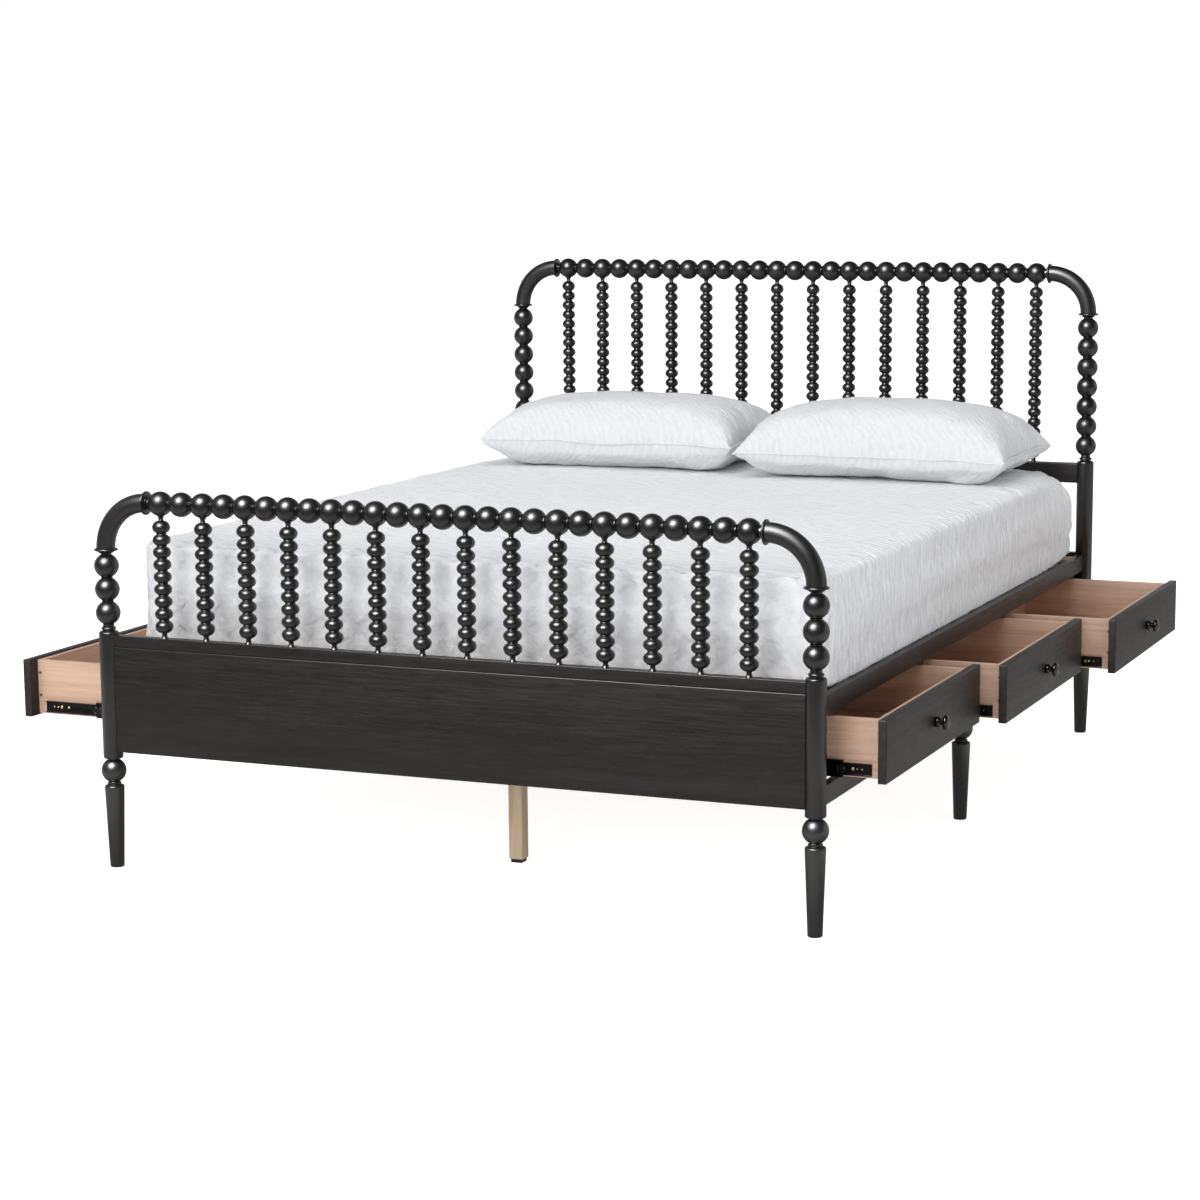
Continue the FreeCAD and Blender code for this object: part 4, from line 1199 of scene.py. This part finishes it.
def makeMattress():
    s = mattressSet
    low, high = boxOf("mattress")
    middle, half = (low + high) / 2, (high - low) / 2
    shell = softBox(half - s["slack"] * mm, s)
    piece = standFor("soft_mattress", moved(shell, middle), mattressKnit, "mattress_knit", "mattress")
    # the cloth's movement fades to nothing towards the bottom edge, which stands on the slats
    before = meshPoints(piece.data)
    inflate(piece, s["pressure"], 14, s["cap"] * mm, 12)
    share = risen(before[:, 2:] - low[2], *(value * mm for value in s["still"]))
    setPoints(piece.data, before + (meshPoints(piece.data) - before) * share)
    subdivided(piece)
    mesh = piece.data
    setPoints(mesh, middle + softenedCorners(meshPoints(mesh) - middle, half))
    points, normals = meshPoints(mesh), meshNormals(mesh)
    local, up = points - middle, normals[:, 2]
    asideShare, alongShare = np.abs(local[:, 0]) / half[0], local[:, 1] / half[1]
    sideways = np.clip(1 - up ** 2 * 1.6, 0, 1)
    bulge = s["bulge"] * sideways * risen(points[:, 2] - low[2], 0, 8 * mm)
    crown = s["crown"] * np.clip(1 - asideShare ** 4, 0, 1) * np.clip(1 - alongShare ** 4, 0, 1)
    relief = quilting(local, normals) + creases(local, normals, sideways) + bulge + crown * (up > 0.3) * up
    points += normals * relief[:, None] * mm
    # the top droops a little towards the head corners, where the edge has softened
    droop = s["droop"] * mm * (risen(alongShare, 0.70, 1) * risen(asideShare, 0.62, 1)) ** 1.6
    points[:, 2] -= droop * (up > -0.2) * risen(points[:, 2], low[2], high[2])
    points[:, 2] = np.clip(points[:, 2], low[2], high[2] + 2 * mm)
    points[:, 0] = np.clip(points[:, 0], -s["railGap"] * mm, s["railGap"] * mm)
    # the head end eases off before its limit, so that it clears the spindles when the mattress lifts
    ease = s["headEase"] * mm
    past = np.maximum(points[:, 1] - (s["headLimit"] * mm - ease), 0)
    points[:, 1] += ease * (1 - np.exp(-past / ease)) - past
    # the lowest strip of each side fills the gap to the side rail, and fades towards both ends
    strip = (1 - risen(points[:, 2] - low[2], 0, s["skirt"] * mm)) * (sideways > 0.3)
    strip *= np.abs(local[:, 0]) > half[0] - 9 * mm
    strip *= risen(half[1] - np.abs(local[:, 1]), 0, np.where(local[:, 0] > 0, 190 * mm, 60 * mm))
    points[:, 0] += (np.sign(local[:, 0]) * s["railGap"] * mm - points[:, 0]) * strip
    setPoints(mesh, points)


makeMattress()
print("mattress made")


# Pillows

pillowSet = {
    "count": (86, 58),
    "slack": 7.0,
    "waist": 16.0,
    "seamShare": {"left": 0.33, "right": 0.25},
    "cornerThin": 0.72,
    "unevenness": 6.0,
    "pressure": 4.0,
    "cap": 16.0,
    "extra": {"left": 3.0, "right": 12.0},
    "wrinkles": (2.6, 2.4, 0.6),
    "piping": 2.9,
}


def closerAtEnds(count):
    # places from -1 to 1 = 0.45 sine of the place's quarter turn + 0.55 of the place
    even = np.linspace(-1, 1, count + 1)
    return 0.45 * np.sin(even * np.pi / 2) + 0.55 * even


def pillowShell(half, height, side):
    # two sheets on one grid of u and v from -1 to 1, joined at the seam;
    # x = u (half width - waist (1 - v^2)), y likewise; shape = (1 - u^2)(1 - v^2), boxy the same with a
    # squarer plan; corner = 1 - thinness (u v)^4,
    # upper = seam + (height - seam) corner (0.55 shape^0.33 + 0.45 boxy^0.36),
    # lower = seam - seam corner min(1, 1.3 boxy^0.26)
    s = pillowSet
    u, v = np.meshgrid(*(closerAtEnds(count) for count in s["count"]), indexing="ij")
    x = u * (half[0] - s["waist"] * mm * (1 - v ** 2))
    y = v * (half[1] - s["waist"] * mm * (1 - u ** 2))
    rim = np.ones(u.shape, bool)
    rim[1:-1, 1:-1] = False
    nearU, nearV = np.clip(1 - u ** 2, 1e-6, 1), np.clip(1 - v ** 2, 1e-6, 1)
    shape = nearU * nearV
    boxy = (nearU ** -2.5 + nearV ** -2.5 - 1) ** -0.4
    shape[rim] = boxy[rim] = 0
    seam = s["seamShare"][side] * height
    corner = 1 - s["cornerThin"] * (u * v) ** 4
    upper = seam + (height - seam) * corner * (0.55 * shape ** 0.33 + 0.45 * boxy ** 0.36)
    lower = seam - seam * corner * np.minimum(1, 1.3 * boxy ** 0.26)
    top, bottom = (np.stack((x, y, z), 2) for z in (upper, lower))
    numbers = np.arange(u.size).reshape(u.shape)
    under = numbers.copy()
    under[~rim] = u.size + np.arange((~rim).sum())
    quads = []
    for table, turn in ((numbers, 1), (under, -1)):
        quad = np.stack((table[:-1, :-1], table[1:, :-1], table[1:, 1:], table[:-1, 1:]), 2).reshape(-1, 4)
        quads.append(quad[:, ::turn])
    points = np.concatenate((top.reshape(-1, 3), bottom[~rim]))
    loop = (numbers[:-1, 0], numbers[-1, :-1], numbers[1:, -1][::-1], numbers[0, 1:][::-1])
    return (points, quads, points), np.concatenate(loop)


def makePillow(side, seed):
    s = pillowSet
    node = "pillow_" + side
    low, high = boxOf(node)
    middle, size, slack = (low + high) / 2, high - low, s["slack"] * mm
    half = size[:2] / 2 - slack
    shell, loop = pillowShell(half, size[2] - 2 * slack, side)
    points = shell[0] + (middle[0], middle[1], low[2] + slack)
    points[:, 2] += s["unevenness"] * mm * layeredNoise((points - middle) * 7.0, seed, 3)
    piece = standFor("soft_" + node, (points, shell[1], points), pillowCotton, "pillow_cloth", node)
    inflate(piece, s["pressure"], 20, s["cap"] * mm, 9)
    settled = meshPoints(piece.data)
    stretch = (size - 2 * mm + (0, 0, s["extra"][side] * mm)) / (settled.max(0) - settled.min(0))
    setPoints(piece.data, (settled - settled.min(0)) * stretch + low + 1 * mm)
    path = meshPoints(piece.data)[loop]
    subdivided(piece)
    mesh = piece.data
    points, normals = meshPoints(mesh), meshNormals(mesh)
    local = points - middle
    # wrinkles that run in from the seam, strongest near it, and crinkles all over
    toRim = (np.abs(local[:, :2]) / half).max(1)
    nearRim = risen(toRim, 0.45, 1) ** 1.5
    folds = layeredNoise(local * (30, 12, 10), seed + 5, 3) * nearRim
    ends = layeredNoise(local * (11, 34, 16), seed + 9, 3) * nearRim
    crinkle = layeredNoise(local * (55, 55, 40), seed + 13, 2) * (0.6 + 1.2 * nearRim)
    relief = np.stack((folds, ends, crinkle), 1) @ np.array(s["wrinkles"])
    points += normals * relief[:, None] * mm
    points[:, 2] = np.maximum(points[:, 2], low[2] + 0.2 * mm)
    setPoints(mesh, points)
    line = smoothLine(np.concatenate((path, path[:1])), 2)[:-1]
    line = (np.roll(line, 1, 0) + 2 * line + np.roll(line, -1, 0)) / 4
    seam = closedTube(line, s["piping"] * mm, 8, (0, 0, 1.0))
    makePiece("piping_" + node, seam, pillowCotton, "pillow_cloth", [node])


makePillow("left", 31)
makePillow("right", 57)
print("pillows made")


# Floor, world and lamps

stageSet = {
    "floorSize": 90.0,
    "floorColour": (0.90, 0.90, 0.90, 1),
    "floorGlow": 0.80,
    "floorBounce": 0.20,
    "mirroredFloor": (1.0, 0.97, 0.94, 1),
    "sweepEnd": (-3.4, -1.2),
    "sweepShine": (0.09, 0.85),
    "underShade": 0.3,
    "worldColour": (0.96, 0.98, 1.0, 1),
    "world": 0.56,
    "room": 0.07,
    "backdropTop": (0.3, 0.6),
    "backdropSide": (-0.05, 0.25),
    "backdropShine": 0.6,
}


def raysOf(tree):
    # the rays straight from the camera, and the mirrored or bent ones
    rays = addNode(tree, "LightPath").outputs
    mirrored = mathNode(tree, "MAXIMUM", rays["Is Glossy Ray"], rays["Is Transmission Ray"])
    return rays["Is Camera Ray"], mirrored


def mixShaders(tree, share, first, second):
    return addNode(tree, "MixShader", {0: share, 1: first, 2: second}).outputs[0]


def addShaders(tree, first, second):
    return addNode(tree, "AddShader", {0: first, 1: second}).outputs[0]


def light(tree, kind, **inputs):
    return addNode(tree, kind, inputs).outputs[0]


def makeFloor():
    s = stageSet
    half = s["floorSize"] / 2
    data = bpy.data.meshes.new("floor")
    corners = [(-half, -half, 0), (half, -half, 0), (half, half, 0), (-half, half, 0)]
    data.from_pydata(corners, [], [(0, 1, 2, 3)])
    floor = bpy.data.objects.new("floor", data)
    scene.collection.objects.link(floor)
    material = bpy.data.materials.new("pale floor")
    tree, output = newTree(material, "OutputMaterial")
    diffuse = light(tree, "BsdfDiffuse", Color=s["floorColour"])
    straight = addShaders(tree, diffuse, light(tree, "Emission", Strength=s["floorGlow"]))
    around = addShaders(tree, diffuse, light(tree, "Emission", Strength=s["floorBounce"]))
    camera, mirrored = raysOf(tree)
    # in a mirror the floor is a glow, not its lit self: a white sweep of painted light that ends a little way
    # in front of the bed, and painted shade under and behind it
    x, y, _ = axesOf(tree, addNode(tree, "TexCoord").outputs["Object"])
    beside = rangeNode(tree, mathNode(tree, "ABSOLUTE", x, 0), s["underShade"], 1.0, 0.95, 1.25)
    before = rangeNode(tree, y, 1.0, s["underShade"], -1.3, -1.05)
    behind = rangeNode(tree, y, 1.0, 0.5, 1.3, 3.0)
    paintedShade = mathNode(tree, "MULTIPLY", mathNode(tree, "MAXIMUM", beside, before), behind)
    sweep = mathNode(tree, "MULTIPLY", rangeNode(tree, y, *s["sweepShine"], *s["sweepEnd"]), paintedShade)
    plain = light(tree, "Emission", Color=s["mirroredFloor"], Strength=sweep)
    seen = mixShaders(tree, mirrored, mixShaders(tree, camera, around, straight), plain)
    feed(tree, output, {0: seen})
    data.materials.append(material)


def makeWorld():
    s = stageSet
    world = bpy.data.worlds.new("studio")
    scene.world = world
    tree, output = newTree(world, "OutputWorld")
    soft = light(tree, "Background", Color=s["worldColour"], Strength=s["world"])
    dim = light(tree, "Background", Strength=s["room"])
    white = light(tree, "Background", Color=(1, 1, 1, 1), Strength=1.0)
    camera, mirrored = raysOf(tree)
    # mirrored rays see the white backdrop behind the bed up to its top edge, and a dim room elsewhere
    _, y, z = axesOf(tree, addNode(tree, "TexCoord").outputs["Generated"])
    above = rangeNode(tree, z, 1.0, 0.0, *s["backdropTop"])
    backdrop = mathNode(tree, "MULTIPLY", above, rangeNode(tree, y, 0.0, 1.0, *s["backdropSide"]))
    room = mathNode(tree, "MULTIPLY", mirrored, rangeNode(tree, backdrop, 1.0, 0.0, 0.0, 1.0))
    shine = mathNode(tree, "MULTIPLY", mathNode(tree, "MULTIPLY", mirrored, backdrop), s["backdropShine"])
    seen = mathNode(tree, "MAXIMUM", shine, camera)
    feed(tree, output, {0: mixShaders(tree, seen, mixShaders(tree, room, soft, dim), white)})


lampSet = {
    # place, aim, size, power, and whether it shows only as a shine on lacquer and metal
    "key": ((-3.3, -5.8, 4.4), (0.0, -0.3, 0.5), 1.3, 64, False),
    "front": ((-0.3, -7.6, 2.7), (0.0, -0.6, 0.5), 4.4, 228, False),
    "softbox": ((-0.9, -5.1, 5.2), (0.0, -0.6, 0.6), 4.4, 1350, True),
    "side": ((6.2, -4.0, 2.3), (0.0, -0.5, 0.5), 1.9, 33, False),
    "top": ((0.2, -0.9, 4.6), (0.1, -0.4, 0.0), 3.6, 48, False),
}


def makeLamps():
    for name, (place, aim, size, power, shineOnly) in lampSet.items():
        data = bpy.data.lights.new(name, "AREA")
        data.shape = "DISK"
        data.size = size
        data.energy = power
        lamp = bpy.data.objects.new(name, data)
        lamp.location = place
        lamp.rotation_mode = "QUATERNION"
        lamp.rotation_quaternion = (Vector(aim) - Vector(place)).to_track_quat("-Z", "Y")
        scene.collection.objects.link(lamp)
        lamp.visible_glossy = shineOnly
        lamp.visible_diffuse = not shineOnly


makeFloor()
makeWorld()
makeLamps()
print("stage and lamps ready")
